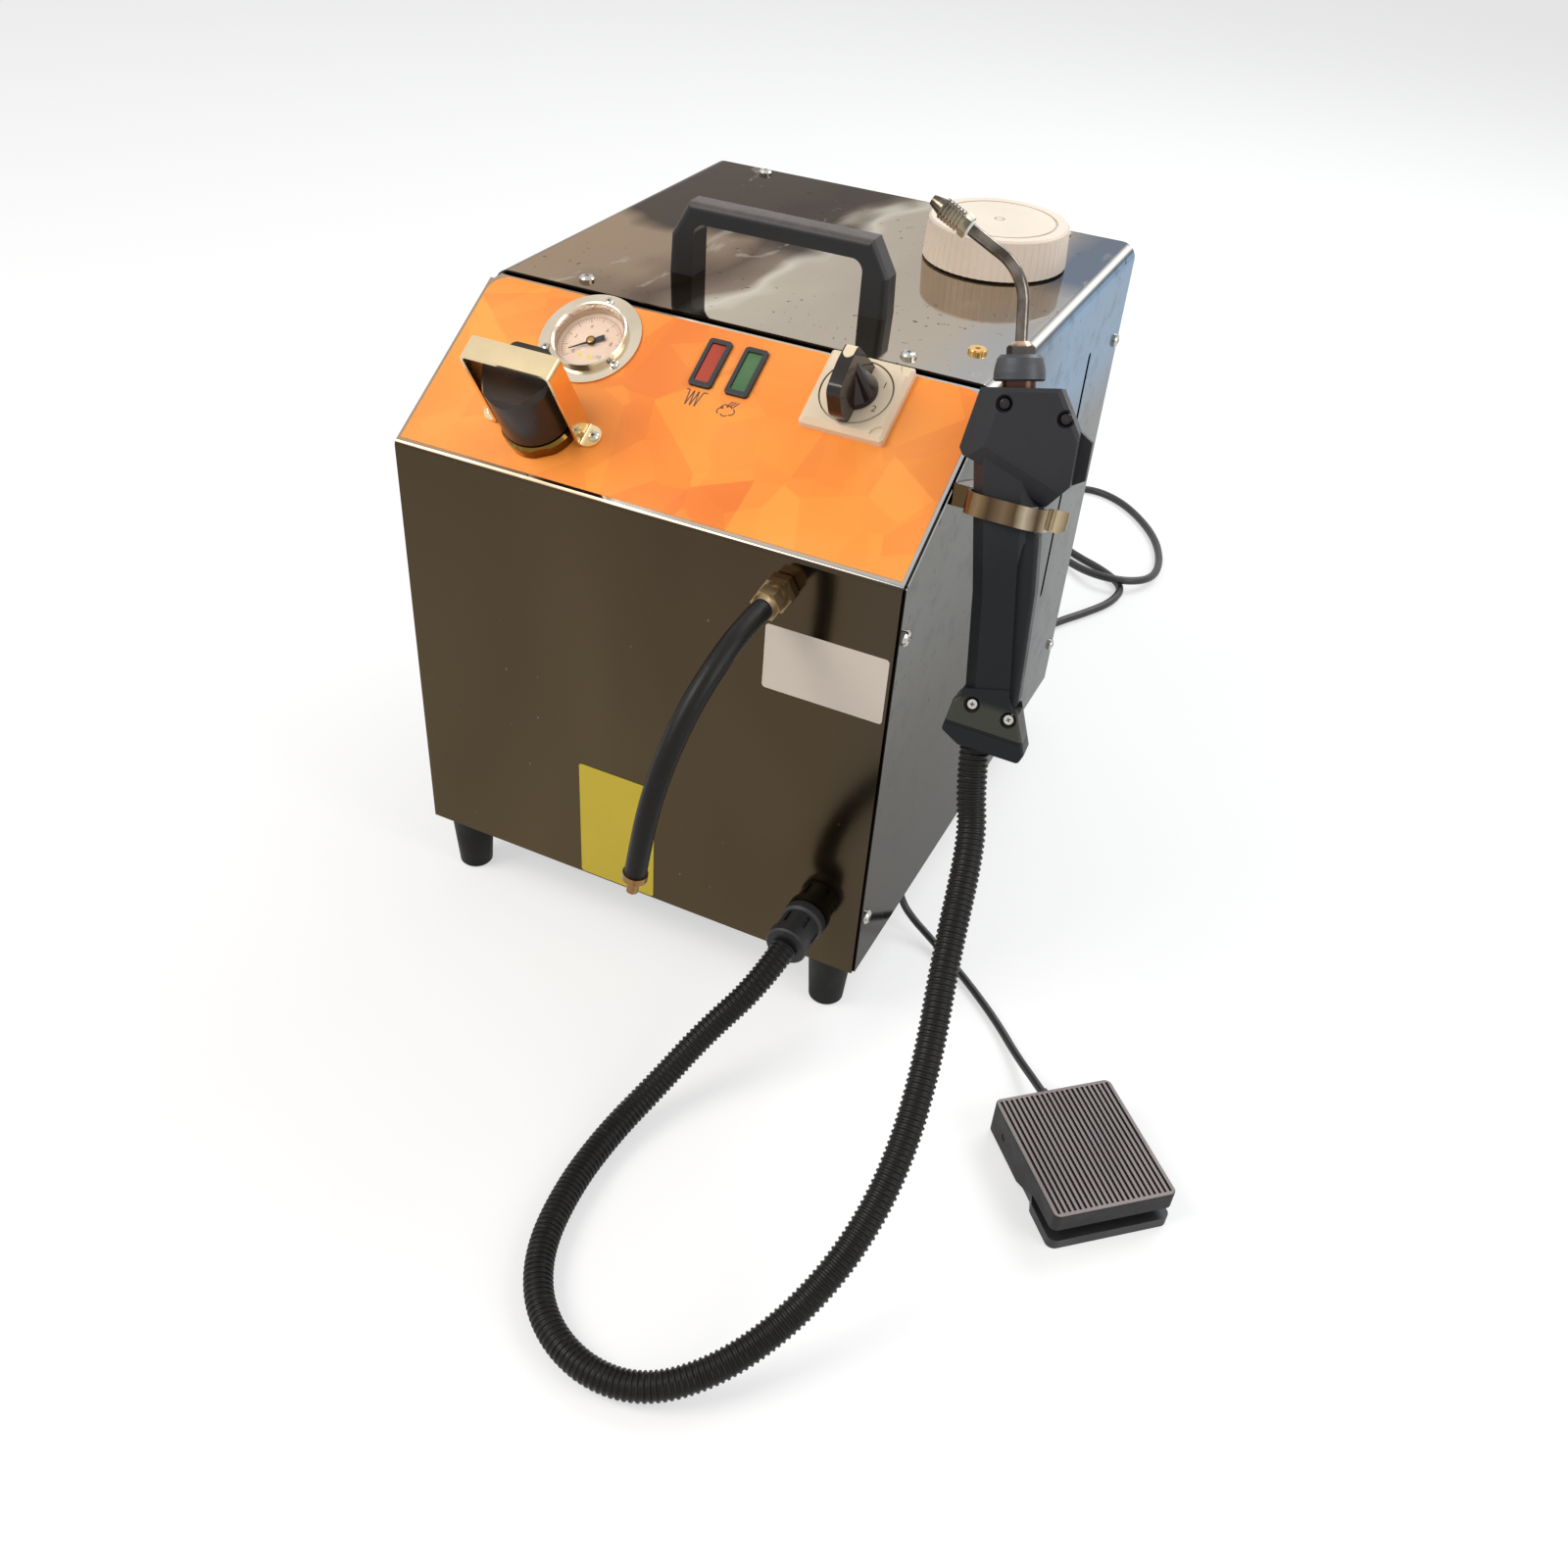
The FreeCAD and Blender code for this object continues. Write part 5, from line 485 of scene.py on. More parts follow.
finish(handle_moulding(), "carry_handle")
finish(BLACK, "lamp_bezels", "hose_connector", "pedal_base", "pedal_gland", "strain_relief")
finish(moulded("switch_housing", srgb(30, 30, 32), 0.5), "switch_body", "pedal_switch")
finish(CREAM, "switch_plate")
finish(moulded("tank_wall", srgb(222, 224, 218), 0.35, mottle=0.04), "water_tank")
finish(INNER, "tank_gasket", "tank_cap_liner", "boiler_cap_seal")
finish(metal("boiler_sheet", srgb(150, 148, 146), 0.3), "boiler", "heating_element")
finish(moulded("pump_case", srgb(32, 34, 38), 0.45), "feed_pump")
finish(moulded("silicone_hose", srgb(176, 178, 170), 0.3), "water_hoses")
finish(moulded("cap_brown", srgb(40, 29, 20), 0.3, 500.0, 0.00004, 0.2, specular=0.3), "boiler_cap")
finish(metal("guard_steel", srgb(232, 210, 168), 0.14), "cap_guard")
finish(metal("gauge_rim", srgb(216, 202, 180), 0.2), "gauge_case")
finish(moulded("dial_face", srgb(232, 203, 180), 0.5, mottle=0.02), "gauge_dial")
finish(moulded("needle_black", srgb(24, 22, 22), 0.45), "gauge_needle")


def banded(name, frame_at, stops, rough, index, span):
    """Metal with painted tones along one axis of a local frame; span is in millimetres."""
    s = Shader(name)
    place = s.part(s.local(frame_at), index)
    shift = s.times(s.less(s.noise(120.0, 2.0), 0.5), 0.002)
    where = s.remap(s.plus(place, shift), span[0] * MM, span[1] * MM, 0, 1)
    s.set(Base_Color=s.ramp(where, stops), Metallic=1.0)
    s.set(Roughness=s.remap(s.noise(60.0), 0.3, 0.7, rough * 0.8, rough * 1.2))
    s.bump(s.noise(700.0, 2.0), 0.00002)
    return s.mat


# bands across the hoop that stand for what its polished strap reflects
CLIP_BANDS = [(0.0, srgb(86, 68, 46)), (0.18, srgb(136, 112, 82)), (0.3, srgb(76, 60, 44)),
              (0.45, srgb(118, 98, 76)), (0.56, srgb(84, 66, 48)), (0.66, srgb(186, 170, 146)),
              (0.76, srgb(80, 64, 48)), (0.88, srgb(190, 172, 140)), (1.0, srgb(110, 92, 66))]
# bronze bush below, steel nut above and its bright upper end
NECK_BANDS = [(0.0, srgb(58, 43, 37)), (0.32, srgb(82, 57, 45)), (0.36, srgb(74, 70, 68)),
              (0.86, srgb(84, 80, 77)), (0.92, srgb(196, 160, 132)), (1.0, srgb(206, 180, 156))]
# bright screws in the foot, dark ones in the head
GUN_SCREW_BANDS = [(0.0, srgb(196, 192, 184)), (0.45, srgb(196, 192, 184)), (0.55, srgb(52, 50, 50)),
                   (1.0, srgb(52, 50, 50))]

finish(banded("clip_steel", CLIP, CLIP_BANDS, 0.12, 0, (-22, 30)), "gun_clip")
# the lance's dark patches are painted reflections of dark bands
finish(metal("lance_chrome", srgb(124, 116, 108), 0.1, srgb(72, 66, 60), (0.42, 0.6)), "gun_lance")
finish(banded("neck_metal", GUN, NECK_BANDS, 0.22, 2, (56, 79.8)), "neck_fittings")
finish(banded("gun_screw_metal", GUN, GUN_SCREW_BANDS, 0.2, 2, (-110, 60)), "gun_screws")
# the nozzle's dark patches are painted reflections
finish(metal("nozzle_metal", srgb(152, 142, 122), 0.22, srgb(66, 60, 54), (0.45, 0.62)), "gun_nozzle")
finish(moulded("white_washer", srgb(226, 224, 216), 0.4), "nozzle_washer")


def gun_moulding():
    """Fine-grained moulding, lighter on the head; round the slanted foot a paler band that is a painted
    highlight and a groove darkened by painted shade.
    """
    s = Shader("gun_moulding")
    x, z = (s.part(s.local(GUN), i) for i in (0, 2))
    uneven = s.remap(s.noise(40.0, 3.0), 0.3, 0.7, -0.006, 0.006)
    tone = s.remap(s.plus(z, uneven), -0.03, 0.03, 0, 1)
    below = s.less(s.times(x, -0.27), s.plus(z, 0.1118))
    groove = s.remap(s.math("ABSOLUTE", s.plus(below, -0.0002)), 0.0004, 0.0009, 1, 0)
    flat = s.times(s.remap(below, -0.016, -0.012, 0, 1), s.remap(below, 0.0, 0.0008, 1, 0))
    base = s.mix(tone, srgb(14, 18, 20), srgb(40, 40, 43))
    # painted highlight on the band beside the groove
    base = s.mix(s.times(flat, 0.8), base, srgb(58, 59, 50))
    # painted shade in the groove
    base = s.mix(s.times(groove, 0.9), base, srgb(8, 9, 9))
    s.set(Specular_IOR_Level=0.22, Base_Color=base, Roughness=s.remap(s.noise(60.0, 3.0), 0.3, 0.7, 0.46, 0.6))
    s.bump(s.less(1.0, groove), 0.0012)
    s.bump(s.noise(1300.0, 2.0), 0.00008)
    return s.mat


finish(gun_moulding(), "gun_front", "gun_rear", "gun_trigger")
finish(moulded("collar_slate", srgb(48, 50, 55), 0.48, 900.0, 0.00004), "gun_collar")
finish(moulded("plug_moulding", srgb(28, 28, 30), 0.4), "mains_plug")


def clear_glass():
    """Gauge window with a trace of haze."""
    s = Shader("gauge_window")
    s.set(Base_Color=(1.0, 1.0, 1.0), Transmission_Weight=1.0, IOR=1.2)
    s.set(Roughness=s.remap(s.noise(40.0), 0.4, 0.7, 0.0, 0.03))
    return s.mat


finish(clear_glass(), "gauge_glass")


def lens(name, dark, light):
    """Flat coloured lens with a faint prism pattern behind it."""
    s = Shader(name)
    wave = s.node("ShaderNodeTexWave", wave_type="BANDS", bands_direction="Y")
    wave.inputs["Scale"].default_value = 320.0
    s.link(s.local(PANEL), wave.inputs["Vector"])
    tone = s.plus(s.times(wave.outputs["Fac"], 0.3), s.times(s.noise(50.0), 0.7))
    s.set(Base_Color=s.ramp(tone, [(0.25, dark), (0.75, light)]), Roughness=0.26, Coat_Weight=0.15)
    s.bump(wave.outputs["Fac"], 0.00003)
    return s.mat


finish(lens("lens_red", srgb(148, 34, 8), srgb(180, 62, 26)), "red_lens")
finish(lens("lens_green", srgb(42, 84, 42), srgb(76, 118, 66)), "green_lens")


def cap_plastic():
    """Slightly translucent cream plastic with painted shade: a little darker on the skirt than on the top."""
    s = Shader("cap_cream")
    side = s.ramp(s.noise(22.0, 3.0), [(0.3, srgb(198, 182, 166)), (0.7, srgb(208, 193, 178))])
    top = s.ramp(s.noise(22.0, 3.0), [(0.3, srgb(212, 200, 182)), (0.7, srgb(221, 209, 192))])
    s.set(Base_Color=s.mix(s.remap(s.normal(2), 0.5, 0.95, 0, 1), side, top))
    s.set(Roughness=0.4, Subsurface_Weight=0.12, Subsurface_Scale=0.004)
    s.bump(s.noise(500.0, 2.0), 0.00004)
    return s.mat


finish(cap_plastic(), "tank_cap")


def pedal_paint():
    """Near-black ribbed cover, taupe on the tops of its ridges."""
    s = Shader("pedal_paint")
    at = s.local(PEDAL)
    height = s.plus(s.part(at, 2), s.times(s.part(at, 1), 0.01764))
    ridge = s.remap(height, 0.02525, 0.02560, 0, 1)
    top = s.times(ridge, s.remap(s.normal(2), 0.6, 0.95, 0, 1))
    ridges = s.ramp(s.noise(35.0, 3.0), [(0.3, srgb(122, 112, 110)), (0.7, srgb(138, 128, 125))])
    s.set(Base_Color=s.mix(top, srgb(30, 28, 28), ridges), Specular_IOR_Level=0.3)
    s.set(Roughness=s.remap(s.noise(70.0), 0.3, 0.7, 0.5, 0.62))
    s.bump(s.noise(800.0, 2.0), 0.00004)
    return s.mat


finish(pedal_paint(), "pedal_cover")


# ---------------------------------------------------------------- cords
def spline(name, points, radius=0.0, mat=None):
    """Smooth open curve with these control points, in millimetres."""
    data = bpy.data.curves.new(name, "CURVE")
    data.dimensions = "3D"
    data.resolution_u = 10
    data.bevel_depth = radius * MM
    data.bevel_resolution = 5
    data.use_fill_caps = True
    run = data.splines.new("NURBS")
    run.points.add(len(points) - 1)
    for p, q in zip(run.points, points):
        p.co = (q[0] * MM, q[1] * MM, q[2] * MM, 1)
    run.order_u = 3
    run.use_endpoint_u = True
    if mat:
        data.materials.append(mat)
    o = bpy.data.objects.new(name, data)
    bpy.context.scene.collection.objects.link(o)
    return o


def centreline(points):
    """Points along the smooth line of a route, and their distances from its start."""
    guide = spline("guide", points)
    bpy.context.view_layer.update()
    mesh = bpy.data.meshes.new_from_object(guide)
    line = [v.co.copy() for v in mesh.vertices]
    bpy.data.objects.remove(guide)
    bpy.data.meshes.remove(mesh)
    run = [0.0]
    for a, b in zip(line, line[1:]):
        run.append(run[-1] + (b - a).length)
    return line, run


def along(line, run, s):
    """Point at a distance along a centreline, and its index there with the fraction."""
    i = 0
    while i < len(run) - 2 and run[i + 1] < s:
        i += 1
    t = (s - run[i]) / max(1e-9, run[i + 1] - run[i])
    return line[i].lerp(line[i + 1], min(1.0, t)), i + t


def directions(line):
    """Direction of a centreline at each of its points."""
    last = len(line) - 1
    return [(line[min(i + 1, last)] - line[max(i - 1, 0)]).normalized() for i in range(last + 1)]


def ringed_tube(name, points, profile, pitch, mat, segments=28):
    """Corrugated tube: the (share of pitch, radius) profile repeats along the route."""
    line, run = centreline(points)
    heads = directions(line)
    stations = []
    count = round(run[-1] / (pitch * MM))
    step = run[-1] / count
    for k in range(count):
        stations += [((k + share) * step, radius) for share, radius in profile]
    stations.append((run[-1], profile[0][1]))
    bm = bmesh.new()
    up = heads[0].orthogonal().normalized()
    rings = []
    for s, radius in stations:
        p, at = along(line, run, s)
        i = min(int(at), len(heads) - 2)
        d = heads[i].lerp(heads[i + 1], at - i).normalized()
        up = (up - d * up.dot(d)).normalized()
        side = d.cross(up)
        rings.append([bm.verts.new(p + (up * math.cos(a) + side * math.sin(a)) * radius * MM)
                      for a in (2 * math.pi * j / segments for j in range(segments))])
    for a, b in zip(rings, rings[1:]):
        for j in range(segments):
            k = (j + 1) % segments
            bm.faces.new((a[j], a[k], b[k], b[j]))
    bm.faces.new(rings[0][::-1])
    bm.faces.new(rings[-1])
    o = to_object(name, bm, Matrix.Identity(4), mat, None, angle=50)
    return o, line, run[-1]


STEAM_ROUTE = [(120.5, -219.0, 71.8), (116.5, -245.0, 60.8), (98, -275, 39), (85, -307, 19),
               (75, -345, 9.5), (74, -388, 8.2), (82, -431, 8.2), (103, -462, 8.2), (136, -478, 8.2),
               (170, -475, 9.5), (199, -453, 18), (222, -419, 33), (237, -382, 56), (242, -343, 82),
               (237, -300, 112), (226, -258, 146), (215.32, -203.83, 183.3), (206.04, -191.78, 205.6),
               (202.07, -183.24, 227.91)]
RELIEF_ROUTE = [(87.0, -210.0, 286.0), (86.0, -229.92, 284.26), (84.0, -250.6, 276.73),
                (80.0, -269.51, 261.96), (76.0, -284.2, 241.73), (72.0, -294.36, 217.8),
                (69.0, -299.77, 192.37), (66.0, -301.02, 168.4)]
PEDAL_ROUTE = [(283.81, -197.06, 12.0), (274.48, -186.63, 9.5), (260.0, -170.0, 4.5), (240.0, -148.0, 2.8),
               (217.0, -128.0, 2.8), (194.0, -111.0, 3.6), (174.0, -99.0, 6.4), (159.0, -93.0, 11.4),
               (148.9, -90.0, 20.0), (145.0, -90.0, 33.0)]
MAINS_ROUTE = [(88, 212.5, 78), (88, 234.5, 75), (90, 252.5, 60), (94, 266.5, 38), (101, 280.5, 17),
               (112, 306, 5.7), (126, 341, 3.7), (143, 369, 3.7), (158, 399, 3.7), (160, 431, 3.7),
               (136, 452, 3.7), (104, 466, 3.7), (72, 488, 3.7), (46, 520, 3.7), (36, 558, 3.7),
               (46, 594, 3.7), (76, 612, 3.7), (108, 602, 3.7), (138, 574, 3.7), (163, 538, 3.7),
               (178, 496, 3.7), (180, 456, 6.7), (163, 430, 11.1), (134, 426, 11.1), (107, 444, 5.7),
               (78, 466, 3.7), (44, 476, 3.7), (16, 460, 3.7), (8, 428, 3.7), (20, 400, 3.7),
               (44.0, 354.0, 5.7), (31.5, 328.0, 8.5), (26.8, 304.0, 8.5)]
COIL_AT = (-20.0, 320.0)
COIL_START = (26.8, 304.0)      # where the lead runs onto the coil
COIL_R = 38.0
COIL_TURNS = 3
COIL_STEPS = 14                 # points to a turn
COIL_EASE = 0.7                 # share of a turn before the lead moves to its next seat
COIL_SEATS = [(4.4, 4.0), (-3.4, 4.0), (0.5, 10.6)]     # (radius offset, height) of each turn
RING_PITCH = 3.05               # of the steam hose
RING = [(0.0, 7.0), (0.12, 7.75), (0.30, 7.9), (0.50, 7.75), (0.62, 7.0), (0.80, 6.9)]


def coil_route():
    """Turns of the put-away lead, one diameter apart, wound on from the end of the route."""
    start = math.atan2(COIL_START[1] - COIL_AT[1], COIL_START[0] - COIL_AT[0])
    out = []
    for k in range(1, COIL_TURNS * COIL_STEPS + 1):
        turn = min(k // COIL_STEPS, COIL_TURNS - 1)
        following = min(turn + 1, COIL_TURNS - 1)
        ease = max(0.0, ((k % COIL_STEPS) / COIL_STEPS - COIL_EASE) / (1 - COIL_EASE))
        dr, z = (p * (1 - ease) + q * ease for p, q in zip(COIL_SEATS[turn], COIL_SEATS[following]))
        a = start - 2 * math.pi * k / COIL_STEPS
        out.append((COIL_AT[0] + (COIL_R + dr) * math.cos(a), COIL_AT[1] + (COIL_R + dr) * math.sin(a), z))
    return out


def hose_groups():
    """Ringed steam hose and the stiff relief hose."""
    hose, line, length = ringed_tube("steam_hose_rings", STEAM_ROUTE, RING, RING_PITCH, HOSE)
    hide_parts("steam_hose")
    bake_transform(hose)
    relief = spline("relief_hose_line", RELIEF_ROUTE, 6.0, HOSE)
    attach(relief, "cabinet")
    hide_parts("relief_hose")
    length = centreline(RELIEF_ROUTE)[1][-1]


def leads():
    """Pedal lead and mains lead; the mains lead ends in its coil."""
    jacket = moulded("lead_jacket", srgb(30, 29, 30), 0.42, 900.0, 0.00003)
    pedal = spline("pedal_lead_line", PEDAL_ROUTE, 2.5, jacket)
    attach(pedal, "cabinet")
    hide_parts("pedal_lead")
    length = centreline(PEDAL_ROUTE)[1][-1]
    route = MAINS_ROUTE[:-2] + coil_route()
    mains = spline("mains_lead_line", route, 3.5, jacket)
    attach(mains, "cabinet")
    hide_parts("mains_lead", "mains_coil")
    length = centreline(route)[1][-1]


hose_groups()
leads()


# ---------------------------------------------------------------- screw recesses
TOP_HEAD_Z = 376.6      # screw heads on the cover's top
SIDE_HEAD_X = 157.6     # and on its sides
RIM_R = 25.5            # circle of the gauge's screws
FOOT_SCREW_Y = -12.9     # screw heads sunk in the gun's foot
HEAD_SCREW_Y = -14.6     # and in its head


def recesses():
    """Cross recesses in the visible screw heads, each turned at random."""
    rng = random.Random(7)
    x, y, z = Vector((1, 0, 0)), Vector((0, 1, 0)), Vector((0, 0, 1))
    top = [((sx, sy, TOP_HEAD_Z), z) for sx, sy in ((-100, -70), (100, -70), (-108.6, 180.5), (108.6, 180.5))]
    rows = ((-181, 276), (-181, 81.5), (181.5, 314), (181.5, 76))
    side = [((SIDE_HEAD_X * k, sy, sz), x * k) for k in (-1, 1) for sy, sz in rows]
    turns = [math.radians(a) for a in (90, -30, -150)]
    rim = [((RIM_R * math.cos(a), RIM_R * math.sin(a), 3.2), z) for a in turns]
    guard = [((33 * k, 0, 4.1), z) for k in (-1, 1)]
    gun = [((-12.1, FOOT_SCREW_Y, -96.3), -y), ((6.6, FOOT_SCREW_Y, -103.4), -y),
           ((-3.4, HEAD_SCREW_Y, 50.4), -y), ((26.0, HEAD_SCREW_Y, 43.4), -y)]
    groups = (("cover_recesses", WORLD, top + side, 3.4, "cabinet"),
              ("rim_recesses", GAUGE, rim, 2.2, "cabinet"),
              ("guard_recesses", NECK, guard, 2.4, "cabinet"),
              ("gun_recesses", GUN, gun, 2.4, "gun_body"))
    for name, where, places, size, body in groups:
        bm = bmesh.new()
        for at, out in places:
            turn = Matrix.Translation(Vector(at) * MM) @ out.to_track_quat("Z", "Y").to_matrix().to_4x4()
            turn = turn @ Matrix.Rotation(rng.uniform(0, math.pi), 4, "Z")
            for w, h in ((size, size * 0.24), (size * 0.24, size)):
                first = len(bm.verts)
                prism(bm, [(-w / 2, -h / 2), (w / 2, -h / 2), (w / 2, h / 2), (-w / 2, h / 2)], -0.5, 0.03)
                bm.verts.ensure_lookup_table()
                for v in bm.verts[first:]:
                    v.co = turn @ v.co
        to_object(name, bm, where, SOCKET, body, smooth=False)


recesses()


# ---------------------------------------------------------------- gauge print and pointer hub
DIAL_START, DIAL_SPAN = 225, 270        # degrees
DIAL_TICKS = 50
TICK_R = 17.4                           # outer end of the ticks
RED_FROM = 35                           # first red tick
NUMBER_R = 11.4


def gauge_print():
    """Scale with plain numbers, two pale marks and a hub cap."""
    face = -3.2
    black, red = bmesh.new(), bmesh.new()
    for i in range(DIAL_TICKS + 1):
        a = math.radians(DIAL_START - DIAL_SPAN * i / DIAL_TICKS)
        inner, width = (14.1, 0.36) if i % 5 == 0 else (15.4, 0.18)
        ends = [(r * math.cos(a), r * math.sin(a)) for r in (inner, TICK_R)]
        stroke(red if i >= RED_FROM else black, ends, width, face, face + 0.03)
    stroke(black, arc(0, 0, 17.5, 225, 35, 48), 0.22, face, face + 0.03)
    stroke(red, arc(0, 0, 17.5, 33, -45, 20), 0.5, face, face + 0.03)
    to_object("gauge_scale", black, GAUGE, DIAL_INK, "cabinet", smooth=False)
    red_ink = moulded("dial_red", srgb(190, 56, 44), 0.5)
    to_object("gauge_scale_red", red, GAUGE, red_ink, "cabinet", smooth=False)
    for k in range(6):
        a = math.radians(DIAL_START - DIAL_SPAN * k / 5)
        x, y = NUMBER_R * math.cos(a), NUMBER_R * math.sin(a)
        text("gauge_number_%d" % k, str(2 * k), 3.4, GAUGE, DIAL_INK, "cabinet", x, y, face)
    marks = bmesh.new()
    for x in (-3.1, 3.1):
        prism(marks, [(x - 1.7, -10.3), (x + 1.7, -10.3), (x + 1.7, -8.3), (x - 1.7, -8.3)], face, face + 0.03)
    yellow_ink = moulded("dial_yellow", srgb(224, 196, 96), 0.5)
    to_object("gauge_marks", marks, GAUGE, yellow_ink, "cabinet", smooth=False)
    hub = bmesh.new()
    revolve(hub, [(0, -0.2), (1.4, -0.2), (1.9, -0.35), (2.0, -0.6), (0, -0.6)], 32)
    to_object("pointer_hub", hub, GAUGE, BRASS, "pointer")


gauge_print()


# ---------------------------------------------------------------- lamp symbols and blank labels
def panel_symbols():
    """A heater zigzag under one lamp and a puff of steam under the other."""
    bm = bmesh.new()
    line, low, high = 0.75, 0.3, 0.34
    crest, foot = 79.6, 70.0
    zig = [(-5.5, crest), (-3.4, crest), (-2.4, foot), (-0.6, crest), (0.4, foot), (2.2, crest), (3.2, foot),
           (5.0, crest), (7.5, crest)]
    for a, b in zip(zig, zig[1:]):
        stroke(bm, [a, b], line, low, high)
    puff = arc(18.6, 71.4, 1.9, 250, 60, 10) + arc(20.2, 74.2, 1.7, 170, 20, 8)
    puff += arc(22.6, 74.0, 1.6, 160, 10, 8)
    stroke(bm, puff, line, low, high)
    stroke(bm, arc(24.6, 72.2, 2.0, 80, -110, 12), line, low, high)
    stroke(bm, arc(21.4, 71.2, 2.4, 215, 325, 10), line, low, high)
    for x in (21.0, 22.8, 24.6):
        stroke(bm, [(x, 75.2), (x + 2.2, 78.8)], line, low, high)
    to_object("lamp_symbols", bm, PANEL, BROWN_INK, "cabinet", smooth=False)


def rounded_rect(x0, x1, y0, y1, r, n=6):
    """Outline of a box with corners of radius r."""
    pts = []
    for cx, cy, a in ((x1 - r, y0 + r, -90), (x1 - r, y1 - r, 0), (x0 + r, y1 - r, 90), (x0 + r, y0 + r, 180)):
        pts += arc(cx, cy, r, a, a + 90, n)
    return pts


# left, right, lower and upper edge on the front sheet
LABELS = (("label_white", (81, 152, 226, 266), srgb(194, 182, 168)),
          ("label_yellow", (-38, 15, 41.5, 128), srgb(184, 160, 6)))


def blank_labels():
    """Plain unprinted labels on the front sheet."""
    for name, box, tone in LABELS:
        bm = bmesh.new()
        prism(bm, rounded_rect(*box, 2.0), 0.02, 0.18)
        film = moulded(name + "_film", tone, 0.35, 400.0, 0.00003, 0.03)
        to_object(name, bm, FRONT, film, "cabinet", smooth=False)


panel_symbols()
blank_labels()


# ---------------------------------------------------------------- selector
def rounded_outline(corners, n=6):
    """Closed outline through corners (x, y, radius), each rounded by its own radius."""
    out = []
    for i, (x, y, r) in enumerate(corners):
        p = Vector((x, y))
        to_last = (Vector(corners[i - 1][:2]) - p).normalized()
        to_next = (Vector(corners[(i + 1) % len(corners)][:2]) - p).normalized()
        half = to_last.angle(to_next) / 2
        centre = p + (to_last + to_next).normalized() * (r / math.sin(half))
        start = p + to_last * (r / math.tan(half)) - centre
        turn = math.pi - 2 * half
        if start.x * to_last.y - start.y * to_last.x > 0:
            turn = -turn
        for k in range(n + 1 if r else 1):
            c, s = math.cos(turn * k / n), math.sin(turn * k / n)
            out.append((centre.x + start.x * c - start.y * s, centre.y + start.x * s + start.y * c))
    return out


KNOB_LOW = 7.7
KNOB_FIN = [(17.8, KNOB_LOW, 0), (5.2, 37.4, 3.0), (-6.0, 37.9, 30.0), (-21.8, 34.6, 6.0), (-24.2, 18.0, 14.0),
            (-19.5, KNOB_LOW, 0)]       # side view: (along the panel, height, corner radius)
KNOB_HALF_W = 3.75
DIGIT_R = 15.2


def knob():
    """Glossy pointer knob: a fin that slopes down behind its crown, on a flared round hub."""
    bm = bmesh.new()
    outline = rounded_outline(KNOB_FIN, 8)
    left = [bm.verts.new((-KNOB_HALF_W * MM, y * MM, z * MM)) for y, z in outline]
    right = [bm.verts.new((KNOB_HALF_W * MM, y * MM, z * MM)) for y, z in outline]
    rims = [bm.faces.new(left), bm.faces.new(right[::-1])]
    n = len(outline)
    for i in range(n):
        bm.faces.new((left[i], right[i], right[(i + 1) % n], left[(i + 1) % n]))
    edges = [e for f in rims for e in f.edges if max(v.co.z for v in e.verts) > (KNOB_LOW + 0.1) * MM]
    bmesh.ops.bevel(bm, geom=edges, offset=0.8 * MM, segments=3, affect="EDGES")
    flare = [(3.2 + 8.8 * (1 - t) ** 1.25, KNOB_LOW + 1.4 + 24.0 * t) for t in (k / 12 for k in range(13))]
    revolve(bm, [(0, KNOB_LOW), (11.8, KNOB_LOW)] + flare + [(0, flare[-1][1])], 64)
    bmesh.ops.recalc_face_normals(bm, faces=bm.faces)
    piece = to_object("selector_knob", bm, SWITCH, GLOSS, "selector", angle=40)
    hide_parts("switch_knob")


def pointer_tip():
    """Pale inlay that runs over the crown of the fin and down its rear slope."""
    run = [(v, 37.4 + (5.2 - v) * 0.045) for v in (-3.0, -2.8, -2.4, -1.8, -1.0, 0.0, 1.2, 2.6)]
    run += [p for p in rounded_outline(KNOB_FIN, 8)[::-1] if p[0] > 3.0 and p[1] > 30.0]
    run.append((9.9, 26.3))
    bm = bmesh.new()
    rings = []
    for i, (v, z) in enumerate(run):
        half = 2.95 * math.sqrt(min(1.0, (v + 3.02) / 2.4))
        a, b = Vector(run[max(0, i - 1)]), Vector(run[min(len(run) - 1, i + 1)])
        d = (b - a).normalized()
        out = Vector((-d.y, d.x))
        rings.append([bm.verts.new((x * MM, (v + out.x * lift) * MM, (z + out.y * lift) * MM))
                      for x, lift in ((-half, -0.7), (half, -0.7), (half, 0.12), (-half, 0.12))])
    for a, b in zip(rings, rings[1:]):
        for j in range(4):
            k = (j + 1) % 4
            bm.faces.new((a[j], b[j], b[k], a[k]))
    bm.faces.new(rings[0])
    bm.faces.new(rings[-1][::-1])
    bmesh.ops.recalc_face_normals(bm, faces=bm.faces)
    to_object("selector_pointer", bm, SWITCH, CREAM, "selector", angle=30)


def selector():
    """Digits and ring printed on the plate."""
    z = 7.3
    for label, turn in (("0", 90), ("1", 30), ("2", -30)):
        a = math.radians(turn)
        x, y = DIGIT_R * math.cos(a), DIGIT_R * math.sin(a)
        text("selector_digit_" + label, label, 5.4, SWITCH, INK, "cabinet", x, y, z)
    ring = bmesh.new()
    revolve(ring, [(19.3, z - 0.75), (20.0, z - 0.75), (20.0, z - 0.7), (19.3, z - 0.7)], 96, closed=True)
    to_object("selector_ring", ring, SWITCH, INK, "cabinet")


finish(GLOSS, "switch_knob")
knob()
pointer_tip()
selector()


# ---------------------------------------------------------------- stage, light and camera
AMBIENT = 0.55      # strength of the room's light, and share of the floor that glows


